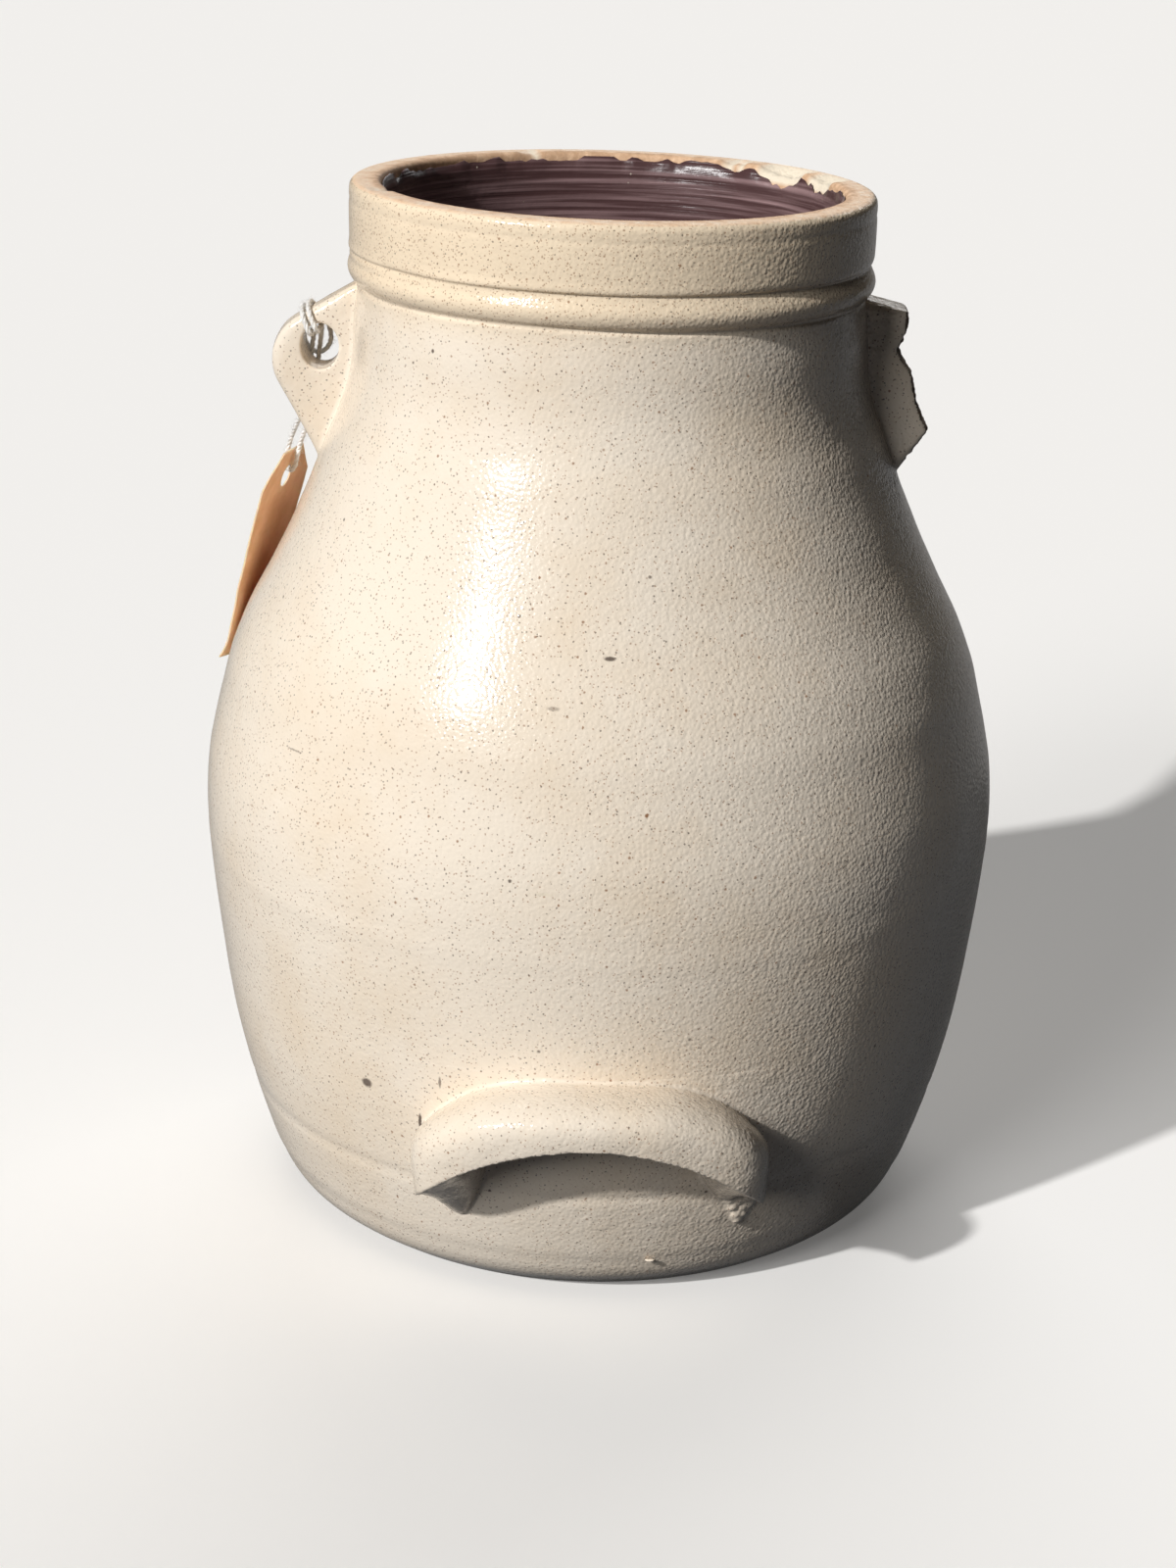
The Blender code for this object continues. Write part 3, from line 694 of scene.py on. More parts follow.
    # The skin is coarser towards the broken ear
    salted = ramp(tree, axes["X"], -0.03, 0.05, 0.45, 1.0)
    feed(tree, shader, {
        "Base Color": body,
        "Roughness": rough,
        "IOR": 1.5,
        "Specular IOR Level": 0.38,
        "Normal": bumped(tree, skin, look.peel_depth, Strength=salted),
    })
    return material


def brown_slip():
    """Glossy brown slip: near black where thick, with pale pits, and russet over the throwing
    rings, where it is lightened into a painted sheen.
    """
    found = bpy.data.materials.get("brown_slip_glaze")
    if found:
        return found
    look = bpy.context.scene.pail_slip
    material, tree, shader = new_material("brown_slip_glaze")
    spot = add(tree, "ShaderNodeTexCoord").outputs["Object"]
    # Streaks about 1.4 mm apart up the wall, drawn out round it by the fingers; their pale colour
    # is thin russet slip and partly a painted sheen
    squeezed = vector_maths(tree, "MULTIPLY", spot, (18.0, 18.0, 700.0))
    rings = clouds(tree, squeezed, 1.0, 3.0)
    body = mix(tree, ramp(tree, rings, 0.45, 0.75), look.brown, look.russet_and_painted_sheen)
    # Pits about 5.5 mm apart
    pits = add(tree, "ShaderNodeTexVoronoi", {"Vector": spot, "Scale": 1.0 / 0.0055})
    body = mix(tree, ramp(tree, pits.outputs["Distance"], 0.055, 0.03, top=0.7), body, look.pit)
    peel = clouds(tree, spot, 1.0 / 0.0022, 2.0)
    ridged = bumped(tree, rings, 0.0004)
    feed(tree, shader, {
        "Base Color": body,
        "Roughness": ramp(tree, rings, 0.0, 1.0, 0.24, 0.44),
        "Normal": bumped(tree, peel, 0.00012, Normal=ridged),
    })
    return material


def raw_clay():
    """Broken stoneware: a dry, gritty grey-brown face with dark and pale grog."""
    look = bpy.context.scene.pail_glaze
    material, tree, shader = new_material("broken_stoneware")
    spot = add(tree, "ShaderNodeTexCoord").outputs["Object"]
    grit = clouds(tree, spot, 1.0 / 0.0016, 5.0, 0.7)
    stain = clouds(tree, spot, 1.0 / 0.008, 3.0)
    body = mix(tree, ramp(tree, stain, 0.35, 0.7), look.raw, look.soot)
    body = mix(tree, ramp(tree, grit, 0.55, 0.75, top=0.6), body, look.tan)
    feed(tree, shader, {
        "Base Color": body,
        "Roughness": 0.85,
        "Normal": bumped(tree, grit, 0.0006),
    })
    return material


def cotton():
    """Bleached cotton: soft, matt, off-white fibres greyed by handling."""
    found = bpy.data.materials.get("bleached_cotton")
    if found:
        return found
    look = bpy.context.scene.pail_string
    material, tree, shader = new_material("bleached_cotton")
    spot = add(tree, "ShaderNodeTexCoord").outputs["Object"]
    soil = clouds(tree, spot, 1.0 / 0.004, 4.0)
    # Fibres are 0.02 mm thick and drawn ten times as coarse, so that they show
    fibre = clouds(tree, spot, 1.0 / 0.0002, 2.0)
    feed(tree, shader, {
        "Base Color": mix(tree, ramp(tree, soil, 0.42, 0.72), look.white, look.grey),
        "Roughness": 0.9,
        "Sheen Weight": 0.3,
        "Normal": bumped(tree, fibre, 0.0001, Strength=0.8),
    })
    return material


def manila():
    """Manila card: warm tan pulp, dull, flecked and foxed, that lets some light through."""
    look = bpy.context.scene.pail_tag
    material, tree, shader = new_material("manila_card")
    spot = add(tree, "ShaderNodeTexCoord").outputs["Object"]
    foxed = clouds(tree, spot, 1.0 / 0.016, 5.0, 0.65)
    body = mix(tree, ramp(tree, foxed, 0.40, 0.72), look.face, look.stain)
    # Pulp fibres about 3 mm long and 0.3 mm wide
    drawn = vector_maths(tree, "MULTIPLY", spot, (3300.0, 3300.0, 330.0))
    pulp = clouds(tree, drawn, 1.0, 2.0)
    body = mix(tree, ramp(tree, pulp, 0.60, 0.78, top=0.45), body, look.edge)
    rim = add(tree, "ShaderNodeAttribute", attribute_name="edge").outputs["Fac"]
    feed(tree, shader, {
        "Base Color": mix(tree, rim, body, look.edge),
        "Roughness": 0.8,
        "Subsurface Weight": 0.5,
        "Subsurface Radius": (1.0, 0.55, 0.25),
        "Subsurface Scale": 0.0008,
        "Normal": bumped(tree, pulp, 0.00008, Strength=0.7),
    })
    return material


def mesh_from(node):
    """A merged copy of a node's triangles, to work on."""
    bm = bmesh.new()
    bm.from_mesh(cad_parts[node].data)
    bmesh.ops.remove_doubles(bm, verts=bm.verts, dist=1e-6)
    return bm


def handle_section(t):
    """Section of the tilt handle at a share t of its half width, as (stand-off, height) points."""
    reach = HANDLE_REACH * math.sqrt(1.0 - abs(t) ** HANDLE_PLAN_POWER)
    top = HANDLE_TOP - HANDLE_TOP_FALL * abs(t) ** 3
    lip = HANDLE_TOP - HANDLE_THICKNESS - HANDLE_LIP_FALL * t * t
    foot = max(0.0, 1.0 - (1.0 - abs(t)) * HANDLE_HALF / HANDLE_FOOT_WIDTH)
    drop = HANDLE_LEFT_DROP if t < 0.0 else HANDLE_RIGHT_DROP
    root = lip - drop * math.sin(math.pi * foot)
    points = []
    for bend in spread(0.0, math.pi / 2.0, 24):
        out = reach * math.sin(bend) ** HANDLE_SECTION_POWER
        points.append((out, lip + (top - lip) * max(math.cos(bend), 0.0) ** HANDLE_SECTION_POWER))
    for share in spread(1.0, 0.0, 12)[1:-1]:
        under = root + (lip - root) * share
        points.append((reach * share, under + HANDLE_ARCH * math.sin(math.pi * share)))
    return points + [(0.0, height) for height in spread(root, top, 8)[:-1]]


def handle_clay():
    """The tilt handle's crescent before it is pressed on, finest at its blunt ends."""
    bm = bmesh.new()
    loops = []
    for turn in spread(-0.5 * math.pi, 0.5 * math.pi, HANDLE_STATIONS):
        t = HANDLE_ENDS * math.sin(turn)
        angle = t * HANDLE_HALF / wall_radius(HANDLE_TOP) - math.pi / 2.0
        loop = []
        for out, height in handle_section(t):
            loop.append(bm.verts.new(polar(wall_radius(height) + out, angle, height)))
        loops.append(loop)
    for near, far in zip(loops, loops[1:]):
        for k, vert in enumerate(near):
            bm.faces.new((near[k - 1], vert, far[k], far[k - 1]))
    bm.faces.new(loops[0])
    bm.faces.new(loops[-1])
    bmesh.ops.recalc_face_normals(bm, faces=bm.faces)
    return bm


def border(skin):
    """The points round the edge of a grid of points, in order."""
    loop = skin[0][:-1] + [row[-1] for row in skin[:-1]] + skin[-1][:0:-1]
    return loop + [row[0] for row in skin[:0:-1]]


def add_patch(bm, middle, half, low, high, margin, lute):
    """A thin piece of wall round a joint: proud in the middle and under the skin at its edges."""
    wide = half + margin / wall_radius((low + high) / 2.0)
    top = min(high + margin, PATCH_HIGHEST)
    bottom = max(low - margin, PATCH_LOWEST)
    columns = spread(middle - wide, middle + wide, PATCH_CELLS)
    rows = spread(bottom, top, PATCH_CELLS)
    skins = []
    for outside in (True, False):
        skin = []
        for height in rows:
            line = []
            for angle in columns:
                radius = wall_radius(height) + wander(angle, height)
                aside = max(abs(angle - middle) - half, 0.0) * radius
                away = math.hypot(aside, max(low - height, height - high, 0.0))
                edge = min((angle - columns[0]) * radius, (columns[-1] - angle) * radius)
                edge = min(edge, height - bottom, top - height)
                proud = lute * (1.0 - ease(away / (0.6 * margin)))
                proud -= PATCH_SINK * (1.0 - ease(edge / (0.4 * margin)))
                radius += proud if outside else -PATCH_DEPTH
                line.append(bm.verts.new(lean(polar(radius, angle, height))))
            skin.append(line)
        skins.append(skin)
    outer, inner = skins
    for face, flip in ((outer, False), (inner, True)):
        for low_row, high_row in zip(face, face[1:]):
            for k in range(len(columns) - 1):
                quad = [low_row[k], low_row[k + 1], high_row[k + 1], high_row[k]]
                bm.faces.new(quad[::-1] if flip else quad)
    over, under = border(outer), border(inner)
    for k, vert in enumerate(over):
        bm.faces.new((vert, over[k - 1], under[k - 1], under[k]))


def add_dab(bm, centre, reach):
    """A lump of clay pressed on."""
    made = bmesh.ops.create_icosphere(bm, subdivisions=3, radius=1.0)["verts"]
    for vert in made:
        vert.co = Vector(centre) + Vector([a * b for a, b in zip(vert.co, reach)])


def luted(name, bm, middle, half, low, high, margin, lute, voxel, rounds, dabs=()):
    """A piece of clay pressed on to the wall and smoothed into it all round the joint."""
    for vert in bm.verts:
        angle = math.atan2(vert.co.y, vert.co.x)
        radius = math.hypot(vert.co.x, vert.co.y)
        if radius - wall_radius(vert.co.z) < ROOT_NEAR:
            radius -= ROOT_SINK
        radius += wander(angle, vert.co.z)
        vert.co = lean(polar(radius, angle, vert.co.z))
    add_patch(bm, middle, half, low, high, margin, lute)
    for centre, reach in dabs:
        add_dab(bm, centre, reach)
    obj = place_mesh(name, bm)
    remesh = obj.modifiers.new("knead", "REMESH")
    remesh.mode = "VOXEL"
    remesh.voxel_size = voxel
    remesh.use_smooth_shade = True
    smooth = obj.modifiers.new("wipe", "SMOOTH")
    smooth.factor = 0.5
    smooth.iterations = rounds
    made = plain(obj)
    normals = [vert.normal.copy() for vert in made.vertices]
    for vert, normal in zip(made.vertices, normals):
        vert.co += normal * sum(deep * noise.noise(vert.co * fine) for fine, deep in FINGER_WAVES)
    made.shade_smooth()
    return obj


class PAIL_OT_stage(bpy.types.Operator):
    """Set up the floor, the light and the camera"""

    bl_idname = "pail.stage"
    bl_label = "Stage"

    def execute(self, context):
        look = context.scene.pail_stage
        bm = bmesh.new()
        bmesh.ops.create_circle(bm, cap_ends=True, segments=64, radius=FLOOR_RADIUS)
        floor = place_mesh("floor", bm)
        material, tree, shader = new_material("pale_paper_floor")
        path = add(tree, "ShaderNodeLightPath").outputs
        # The glaze mirrors the pale floor only dimly
        seen = maths(
            tree, "MULTIPLY_ADD", path["Is Glossy Ray"], look.mirror, path["Is Camera Ray"]
        )
        feed(tree, shader, {
            "Base Color": mix(tree, seen, look.bounce, look.floor),
            "Roughness": 0.9,
            "Specular IOR Level": 0.0,
            "Emission Color": look.floor,
            "Emission Strength": maths(tree, "MULTIPLY", seen, look.glow),
        })
        floor.data.materials.append(material)
        floor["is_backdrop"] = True

        world = bpy.data.worlds.new("studio")
        world.use_nodes = True
        context.scene.world = world
        tree = world.node_tree
        path = add(tree, "ShaderNodeLightPath").outputs
        feed(tree, tree.nodes["Background"], {
            "Color": look.sky,
            "Strength": ramp(tree, path["Is Camera Ray"], 0.0, 1.0, look.sky_strength, 1.0),
        })

        # The glaze doesn't mirror the soft light, so the front has one highlight, from the key
        for name, direction, strength, angle, mirrored in (
            ("key", KEY_DIRECTION, look.key_strength, look.key_angle, True),
            ("fill", FILL_DIRECTION, look.fill_strength, look.fill_angle, False),
            ("back_light", BACK_DIRECTION, look.back_strength, look.back_angle, True),
        ):
            sun = bpy.data.lights.new(name, "SUN")
            sun.energy = strength
            sun.angle = angle
            lamp = place(name, sun)
            lamp.visible_glossy = mirrored
            lamp.rotation_euler = Vector(direction).to_track_quat("Z", "Y").to_euler()
            lamp.location = Vector(direction) * LAMP_DISTANCE

        pitch, yaw, roll = (math.radians(a) for a in (CAMERA_PITCH, CAMERA_YAW, CAMERA_ROLL))
        level = math.cos(pitch)
        ahead = Vector((math.sin(yaw) * level, math.cos(yaw) * level, math.sin(pitch)))
        right = Vector((math.cos(yaw), -math.sin(yaw), 0.0))
        up = right.cross(ahead)
        across = right * math.cos(roll) + up * math.sin(roll)
        upright = up * math.cos(roll) - right * math.sin(roll)
        lens = bpy.data.cameras.new("camera")
        lens.angle = 2.0 * math.atan(PICTURE_HEIGHT / 2.0 / FOCAL_PIXELS)
        lens.clip_start = 0.01
        camera = place("camera", lens)
        turn = Matrix((across, upright, -ahead)).transposed()
        camera.matrix_world = Matrix.Translation(CAMERA_PLACE) @ turn.to_4x4()
        context.scene.camera = camera
        context.scene.view_settings.view_transform = "Standard"
        return {"FINISHED"}


def new_tree(name, taken, sizes, given):
    """A tree of geometry nodes that takes and gives geometry, and the sockets of what it takes."""
    tree = bpy.data.node_groups.new(name, "GeometryNodeTree")
    face = tree.interface
    face.new_socket(taken, in_out="INPUT", socket_type="NodeSocketGeometry")
    for size in sizes:
        face.new_socket(size, in_out="INPUT", socket_type="NodeSocketFloat")
    face.new_socket(given, in_out="OUTPUT", socket_type="NodeSocketGeometry")
    return tree, add(tree, "NodeGroupInput").outputs


def end_tree(tree, geometry, material):
    """Give what a tree makes its material, and send it out."""
    whole = add(tree, "GeometryNodeRealizeInstances", {0: geometry}).outputs[0]
    feeds = {"Geometry": whole, "Material": material}
    add(tree, "NodeGroupOutput", {0: add(tree, "GeometryNodeSetMaterial", feeds).outputs[0]})


def string_tree(material):
    """Three plies twisted round each other along a path."""
    tree, given = new_tree("twisted_string", "Path", ("Ply radius", "Wind radius", "Lay"), "String")
    path = add(tree, "GeometryNodeMeshToCurve", {0: given["Path"]}).outputs[0]
    run = add(tree, "GeometryNodeSplineParameter").outputs["Length"]
    turns = maths(tree, "DIVIDE", run, given["Lay"])
    normal = add(tree, "GeometryNodeInputNormal").outputs[0]
    tangent = add(tree, "GeometryNodeInputTangent").outputs[0]
    side = vector_maths(tree, "CROSS_PRODUCT", tangent, normal)
    ring = add(
        tree, "GeometryNodeCurvePrimitiveCircle", {"Resolution": 9, "Radius": given["Ply radius"]}
    ).outputs[0]
    plies = add(tree, "GeometryNodeJoinGeometry")
    for start in (0.0, 2.0 * math.pi / 3.0, 4.0 * math.pi / 3.0):
        angle = maths(tree, "MULTIPLY_ADD", turns, 2.0 * math.pi, start)
        parts = []
        for kind, way in (("COSINE", normal), ("SINE", side)):
            reach = maths(tree, "MULTIPLY", maths(tree, kind, angle), given["Wind radius"])
            feeds = {0: way, "Scale": reach}
            parts.append(add(tree, "ShaderNodeVectorMath", feeds, operation="SCALE").outputs[0])
        shift = vector_maths(tree, "ADD", *parts)
        wound = add(tree, "GeometryNodeSetPosition", {"Geometry": path, "Offset": shift}).outputs[0]
        feeds = {"Curve": wound, "Profile Curve": ring, "Fill Caps": True}
        tube = add(tree, "GeometryNodeCurveToMesh", feeds).outputs[0]
        tree.links.new(tube, plies.inputs[0])
    end_tree(tree, plies.outputs[0], material)
    return tree


def fuzz_tree(material):
    """Loose bent hairs that stand off the string."""
    tree, given = new_tree("string_fuzz", "String", ("Hairs", "Hair"), "Fuzz")
    roots = add(
        tree, "GeometryNodeDistributePointsOnFaces",
        {"Mesh": given["String"], "Density": given["Hairs"], "Seed": 4},
    ).outputs
    # A hair one unit long, which is scaled where it grows
    bent = add(
        tree, "GeometryNodeCurveQuadraticBezier",
        {"Resolution": 4, "Start": (0.0, 0.0, 0.0), "Middle": (0.35, 0.1, 0.45),
         "End": (0.9, -0.1, 0.5)},
    ).outputs[0]
    ring = add(
        tree, "GeometryNodeCurvePrimitiveCircle", {"Resolution": 3, "Radius": 0.014}
    ).outputs[0]
    hair = add(tree, "GeometryNodeCurveToMesh", {"Curve": bent, "Profile Curve": ring}).outputs[0]
    turn = add(
        tree, "FunctionNodeRandomValue", {0: (-0.7, -0.7, -3.14), 1: (0.7, 0.7, 3.14), "Seed": 9},
        data_type="FLOAT_VECTOR",
    ).outputs[0]
    twist = add(tree, "FunctionNodeEulerToRotation", {0: turn}).outputs[0]
    aim = add(
        tree, "FunctionNodeRotateRotation", {0: roots["Rotation"], 1: twist}, rotation_space="LOCAL"
    ).outputs[0]
    share = add(
        tree, "FunctionNodeRandomValue", {2: 0.35, 3: 1.0, "Seed": 2}, data_type="FLOAT"
    ).outputs[1]
    reach = maths(tree, "MULTIPLY", share, given["Hair"])
    hairs = add(
        tree, "GeometryNodeInstanceOnPoints",
        {"Points": roots["Points"], "Instance": hair, "Rotation": aim, "Scale": reach},
    ).outputs[0]
    end_tree(tree, hairs, material)
    return tree


def grow(obj, tree, **sizes):
    """Run a tree of geometry nodes on an object and keep what it makes as a plain mesh."""
    modifier = obj.modifiers.new(tree.name, "NODES")
    modifier.node_group = tree
    sockets = {item.name: item.identifier for item in tree.interface.items_tree}
    for name, value in sizes.items():
        modifier[sockets[name.replace("_", " ")]] = value
    made = plain(obj)
    if not made.polygons:
        raise RuntimeError(obj.name + " came out empty")
    return made


class PAIL_OT_string(bpy.types.Operator):
    """Twist the string, hitch it to the ear and let it fall to the tag"""

    bl_idname = "pail.string"
    bl_label = "String"

    def execute(self, context):
        look = context.scene.pail_string
        twist = string_tree(cotton())
        fuzz = fuzz_tree(cotton())
        for name, node, body, route in (
            ("hitched_string", "string_hitch", "pail", HITCH_ROUTE),
            ("hanging_string", "string_fall", "tag", FALL_ROUTE),
        ):
            path = flowing([Vector(point) for point in route], ROUTE_STEP)
            line = bpy.data.meshes.new(name)
            line.from_pydata(path, [(k, k + 1) for k in range(len(path) - 1)], [])
            string = place(name, line)
            made = grow(
                string, twist, Ply_radius=PLY_SHARE * look.diameter,
                Wind_radius=WIND_SHARE * look.diameter, Lay=look.lay,
            )
            made.shade_smooth()
            hairs = place(name + "_fuzz", made.copy())
            grow(hairs, fuzz, Hairs=look.hairs, Hair=look.hair)
            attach(hairs, body)
            dress(string, node, "cotton", body, cotton())
            if body == "tag":
                run = sum((b - a).length for a, b in zip(path, path[1:]))
                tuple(path[0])
        return {"FINISHED"}


class PAIL_OT_pot(bpy.types.Operator):
    """Throw the pot, with its tooled lines, leaning rim and chipped mouth"""

    bl_idname = "pail.pot"
    bl_label = "Pot"

    def execute(self, context):
        hollow = flowing(HOLLOW_CHAIN, HOLLOW_STEP)
        base = [Vector((share * OUTER[0].x, 0.0)) for share in (0.0, 0.4, 0.8, 0.96)]
        floor = [Vector((share * hollow[0].x, hollow[0].y)) for share in (0.9, 0.5, 0.0)]
        lip = [OUTER[-1].lerp(hollow[-1], share) for share in (0.25, 0.5, 0.75)]
        chain = base + OUTER + lip + hollow[::-1] + floor

        def shift(angle, point):
            radius, height = point
            away = math.hypot(radius - MOUTH.x, height - MOUTH.y)
            # Only the outside strays, from the edge of the foot up
            if radius > wall_radius(height) - OUTER_SKIN and height > 0.0005:
                radius += wander(angle, height) * ease(height / 0.004)
            deep = chipped(angle) * max(0.0, 1.0 - away / CHIP_REACH)
            radius += 0.6 * deep
            height -= deep
            return lean(polar(radius, angle, height))

        pot = turned("thrown_pot", chain, TURN_STEPS, shift)
        mesh = pot.data
        bare = mesh.attributes.new("bare", "FLOAT", "POINT")
        chip = mesh.attributes.new("chip", "FLOAT", "POINT")
        for vert in mesh.vertices:
            radius = math.hypot(vert.co.x, vert.co.y)
            angle = math.atan2(vert.co.y, vert.co.x)
            level = vert.co.z - RIM_LEAN * vert.co.x
            top = 0.75 * ease((level - HEIGHT + 0.0009) / 0.0006)
            top *= ease((MOUTH.x + BARE_OUT - radius) / 0.002)
            inside = ease((MOUTH.x + 0.0022 - radius) / 0.0014)
            inside *= ease((level - HEIGHT + BARE_DOWN) / 0.002)
            bare.data[vert.index].value = max(top, inside)
            deep = chipped(angle)
            away = math.hypot(radius - MOUTH.x, level - MOUTH.y)
            broken = ease((deep - 0.0006) / 0.0005) * ease((0.0048 - away) / 0.0008)
            chip.data[vert.index].value = broken
        open_spout(pot, SPOUT_BORE / 2.0)
        pot.data.shade_smooth()
        dress(pot, "pail_body", "salt_glaze", "pail", salt_glaze())
        return {"FINISHED"}


class PAIL_OT_lining(bpy.types.Operator):
    """Pour the brown slip that lines the pot up to a ragged edge"""

    bl_idname = "pail.lining"
    bl_label = "Lining"

    def execute(self, context):
        look = context.scene.pail_slip
        shape = context.scene.pail_shape
        outer, inner = [flowing(chain, HOLLOW_STEP) for chain in section("slip_lining")]
        top = inner[-1].y
        # The coat thins out at its upper edge
        for point in inner:
            point.x += SLIP_THINNED * ease((point.y - top + SLIP_EDGE) / SLIP_EDGE)
        start = [Vector((share * outer[0].x, outer[0].y)) for share in (0.0, 0.5, 0.9)]
        end = [Vector((share * inner[0].x, inner[0].y)) for share in (0.9, 0.5, 0.0)]
        chain = start + outer + inner[::-1] + end

        def shift(angle, point):
            radius, height = point
            out = polar(1.0, angle, 0.0)
            # Tongues and breaks about 13, 4 and 1.5 mm wide
            fall = ease((noise.noise(out * 4.3) + 0.12) / 0.3) - 0.6
            small = 0.8 * ease((noise.noise(out * 13.0) - 0.10) / 0.12)
            fall += small + 0.35 * noise.noise(out * 37.0)
            near = ease((height - top + SLIP_SWAY) / SLIP_SWAY)
            height += near * (look.rise - look.ragged * fall - 0.9 * chipped(angle))
            # Throwing rings, from above the floor to below the edge
            rings = noise.noise(Vector((3.0, 0.2 * math.cos(angle), point.y * 210.0)))
            rings *= ease((height - 0.02) / 0.01) * ease((top - height) / 0.004)
            return lean(polar(radius + 2.0 * shape.ring * rings, angle, height))

        lining = turned("slip_coat", chain, TURN_STEPS, shift)
        open_spout(lining, SPOUT_BORE / 2.0 + BORE_SLACK)
        lining.data.shade_smooth()
        dress(lining, "slip_lining", "brown_slip", "pail", brown_slip())
        return {"FINISHED"}


class PAIL_OT_ears(bpy.types.Operator):
    """Lute the whole ear and the broken one to the neck"""

    bl_idname = "pail.ears"
    bl_label = "Bail ears"

    def execute(self, context):
        shape = context.scene.pail_shape
        for name, node, slot, middle, rounds, coats in (
            ("whole_ear", "left_ear", "salt_glaze", math.pi, shape.blend, (salt_glaze(),)),
            ("broken_ear", "right_ear", "raw_clay", 0.0, BROKEN_BLEND, (salt_glaze(), raw_clay())),
        ):
            low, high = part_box(node)
            ear = luted(
                name, mesh_from(node), middle=middle, half=EAR_JOINT, low=low.z + JOINT_FOOT,
                high=high.z - JOINT_HEAD, margin=JOINT_MARGIN, lute=shape.lute, voxel=shape.voxel,
                rounds=rounds,
            )
            dress(ear, node, slot, "pail", *coats)
        # The last one made is broken
        mesh = ear.data
        for face in mesh.polygons:
            out = face.center.x - wall_radius(face.center.z)
            face.material_index = int(out > FRACTURE_OUT and face.normal.x > FRACTURE_FACING)
        facing = [vert.normal.x for vert in mesh.vertices]
        for vert, turned_out in zip(mesh.vertices, facing):
            out = vert.co.x - wall_radius(vert.co.z)
            rough = ease((out - 0.0025) / 0.002) * ease((turned_out - 0.5) / 0.3)
            vert.co.x += rough * 0.0007 * noise.noise(vert.co * 700.0)
        return {"FINISHED"}


class PAIL_OT_tilt_handle(bpy.types.Operator):
    """Lute the tilt handle low on the front"""

    bl_idname = "pail.tilt_handle"
    bl_label = "Tilt handle"

    def execute(self, context):
        low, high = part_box("tilt_handle")
        shape = context.scene.pail_shape
        dabs = [CRUMB]
        for aside, height in SMEAR:
            radius = wall_radius(height) - SMEAR_SINK
            dabs.append((polar(radius, aside / radius - math.pi / 2.0, height), SMEAR_DAB))
        handle = luted(
            "luted_handle", handle_clay(), middle=-math.pi / 2.0, half=HANDLE_JOINT,
            low=low.z + JOINT_FOOT, high=high.z - JOINT_HEAD, margin=HANDLE_MARGIN, lute=0.0,
            voxel=LARGE_VOXEL * shape.voxel, rounds=shape.blend - HANDLE_CRISPER, dabs=dabs,
        )
        dress(handle, "tilt_handle", "salt_glaze", "pail", salt_glaze())
        return {"FINISHED"}


class PAIL_OT_spout(bpy.types.Operator):
    """Lute the spout to the shoulder at the back"""

    bl_idname = "pail.spout"
    bl_label = "Spout"

    def execute(self, context):
        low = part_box("spout")[0]
        shape = context.scene.pail_shape
        spout = luted(
            "luted_spout", mesh_from("spout"), middle=math.pi / 2.0, half=SPOUT_JOINT,
            low=low.z + SPOUT_JOINT_FOOT, high=SPOUT_JOINT_TOP, margin=JOINT_MARGIN,
            lute=shape.lute, voxel=LARGE_VOXEL * shape.voxel, rounds=shape.blend,
        )
        open_spout(spout, SPOUT_BORE / 2.0)
        spout.data.shade_smooth()
        spout.data.set_sharp_from_angle(angle=SHARP_EDGE)
        dress(spout, "spout", "salt_glaze", "pail", salt_glaze(), brown_slip())
        root, axis = Vector(SPOUT_ROOT), Vector(SPOUT_AXIS)
        for face in spout.data.polygons:
            away = face.center - root
            beside = (away - axis * (away @ axis)).length
            face.material_index = int(beside < SPOUT_BORE / 2.0 + BORE_COAT)
        return {"FINISHED"}


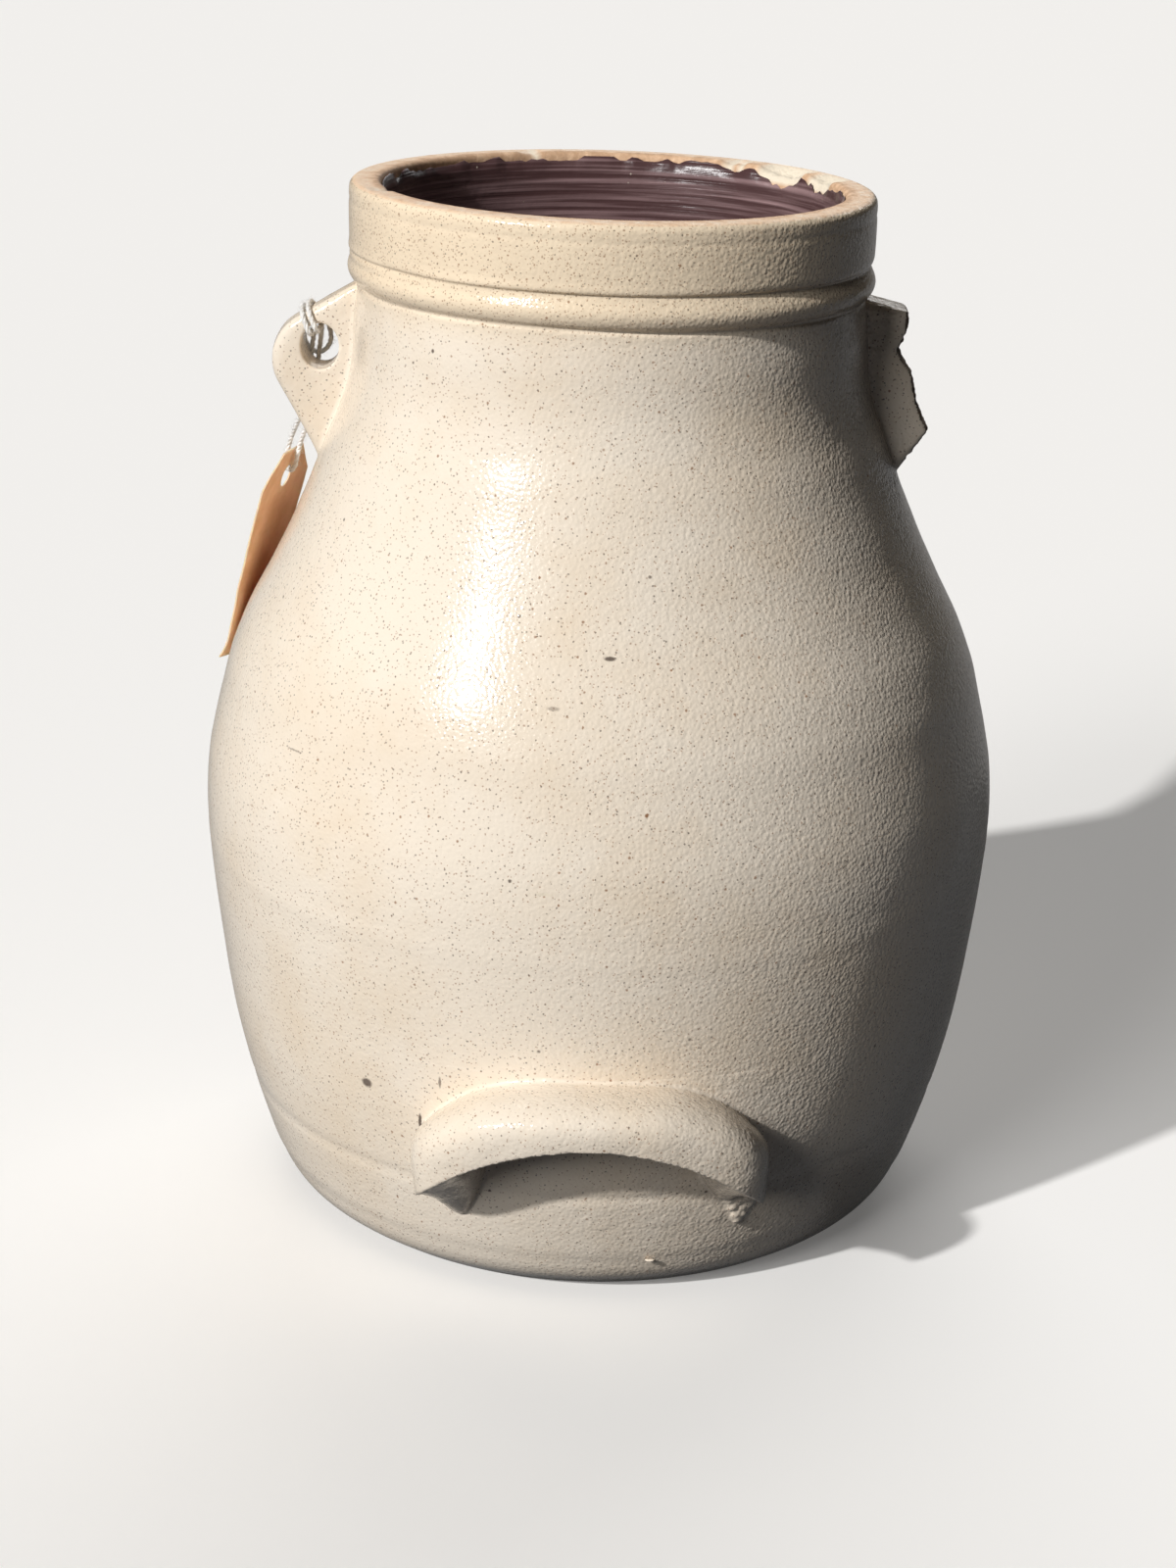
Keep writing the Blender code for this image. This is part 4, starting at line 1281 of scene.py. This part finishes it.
class PAIL_OT_tag(bpy.types.Operator):
    """Cut the card tag, punch it and bend it a little"""

    bl_idname = "pail.tag"
    bl_label = "Tag"

    def execute(self, context):
        look = context.scene.pail_tag
        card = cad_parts["paper_tag"].data
        face = max(card.polygons, key=lambda polygon: polygon.area)
        outward = face.normal * (-1.0 if face.normal.x > 0.0 else 1.0)
        across = Vector((0.0, 0.0, 1.0)).cross(outward).normalized() * -1.0
        along = outward.cross(across)
        if along.z > 0.0:
            along.negate()
        points = [vert.co for vert in card.vertices]
        middle = sum((outward @ point for point in points), 0.0) / len(points)
        runs = [along @ point for point in points]
        sides = [across @ point for point in points]
        start, end = min(runs), max(runs)
        left, right = min(sides), max(sides)
        centre = (left + right) / 2.0
        hole = start + TAG_HOLE_DROP

        bm = bmesh.new()
        rows, columns = TAG_CELLS
        grid = [
            [bm.verts.new((run, side, 0.0)) for side in spread(left, right, columns + 1)]
            for run in spread(start, end, rows + 1)
        ]
        for low, high in zip(grid, grid[1:]):
            for k in range(columns):
                bm.faces.new((low[k], low[k + 1], high[k + 1], high[k]))
        for side, way in ((left, -1.0), (right, 1.0)):
            bmesh.ops.bisect_plane(
                bm, geom=bm.verts[:] + bm.edges[:] + bm.faces[:], clear_outer=True,
                plane_co=(start + TAG_CLIP, side, 0.0), plane_no=(-1.0, way, 0.0),
            )
        tag = place_mesh("card_tag", bm)
        solid = tag.modifiers.new("card", "SOLIDIFY")
        solid.thickness = TAG_THICKNESS
        solid.offset = 0.0
        mesh = drill(tag, TAG_HOLE / 2.0, 0.004, 40, Matrix.Translation((hole, centre, 0.0)))
        edge = mesh.attributes.new("edge", "FLOAT", "POINT")
        for vert in mesh.vertices:
            run, side, up = vert.co
            share = (run - start) / (end - start)
            aside = (side - centre) / (right - left) * 2.0
            from_hole = math.hypot(run - hole, side - centre) - TAG_HOLE / 2.0
            from_clip = run - start - TAG_CLIP + (right - left) / 2.0 * (1.0 - abs(aside))
            from_clip *= math.sqrt(0.5)
            border = min(run - start, end - run, side - left, right - side, from_clip)
            wear = TAG_WEAR + 0.00020 * noise.noise(vert.co * 400.0)
            edge.data[vert.index].value = max(
                1.0 - ease(border / wear), 0.8 * (1.0 - ease(from_hole / 0.0009))
            )
            bow = look.curl * math.sin(math.pi * share) * (1.0 - 0.4 * aside * aside)
            corner = max(0.0, share - TAG_CORNER) / (1.0 - TAG_CORNER) * max(0.0, -aside - 0.2)
            fret = TAG_FRET * noise.noise(Vector((run * 130.0, side * 130.0, 1.0)))
            up += bow + look.dog_ear * corner * corner + fret
            vert.co = outward * (middle + up) + along * run + across * side
        mesh.shade_smooth()
        mesh.set_sharp_from_angle(angle=SHARP_EDGE)
        dress(tag, "paper_tag", "manila", "tag", manila())
        return {"FINISHED"}


class PAIL_PT_panel(bpy.types.Panel):
    """Sizes, colours and steps of the pail"""

    bl_idname = "PAIL_PT_panel"
    bl_label = "Batter pail"
    bl_space_type = "VIEW_3D"
    bl_region_type = "UI"
    bl_category = "Pail"

    def draw(self, context):
        for operator in OPERATORS:
            self.layout.operator(operator.bl_idname)
        for name, group in GROUPS:
            box = self.layout.box()
            box.label(text=group.__doc__)
            for key in group.__annotations__:
                box.prop(getattr(context.scene, name), key)


GROUPS = (
    ("pail_stage", PailStage),
    ("pail_shape", PailShape),
    ("pail_glaze", PailGlaze),
    ("pail_slip", PailSlip),
    ("pail_string", PailString),
    ("pail_tag", PailTag),
)
OPERATORS = (
    PAIL_OT_stage,
    PAIL_OT_string,
    PAIL_OT_tag,
    PAIL_OT_pot,
    PAIL_OT_lining,
    PAIL_OT_ears,
    PAIL_OT_tilt_handle,
    PAIL_OT_spout,
)


def register():
    """Make the pail's settings, steps and panel known to Blender."""
    for name, group in GROUPS:
        bpy.utils.register_class(group)
        setattr(bpy.types.Scene, name, PointerProperty(type=group))
    for operator in OPERATORS:
        bpy.utils.register_class(operator)
    bpy.utils.register_class(PAIL_PT_panel)


def unregister():
    """Take them out again."""
    bpy.utils.unregister_class(PAIL_PT_panel)
    for operator in reversed(OPERATORS):
        bpy.utils.unregister_class(operator)
    for name, group in reversed(GROUPS):
        delattr(bpy.types.Scene, name)
        bpy.utils.unregister_class(group)


def main():
    """Dress the pail and measure its size before and after."""
    register()
    bpy.ops.pail.stage()
    bpy.ops.pail.string()
    bpy.ops.pail.tag()
    bpy.ops.pail.pot()
    bpy.ops.pail.lining()
    bpy.ops.pail.ears()
    bpy.ops.pail.tilt_handle()
    bpy.ops.pail.spout()
    boxes = {"cad": CAD_BOX, "visual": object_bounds()}
    {key: [list(corner) for corner in box] for key, box in boxes.items()}


if __name__ == "__main__":
    main()
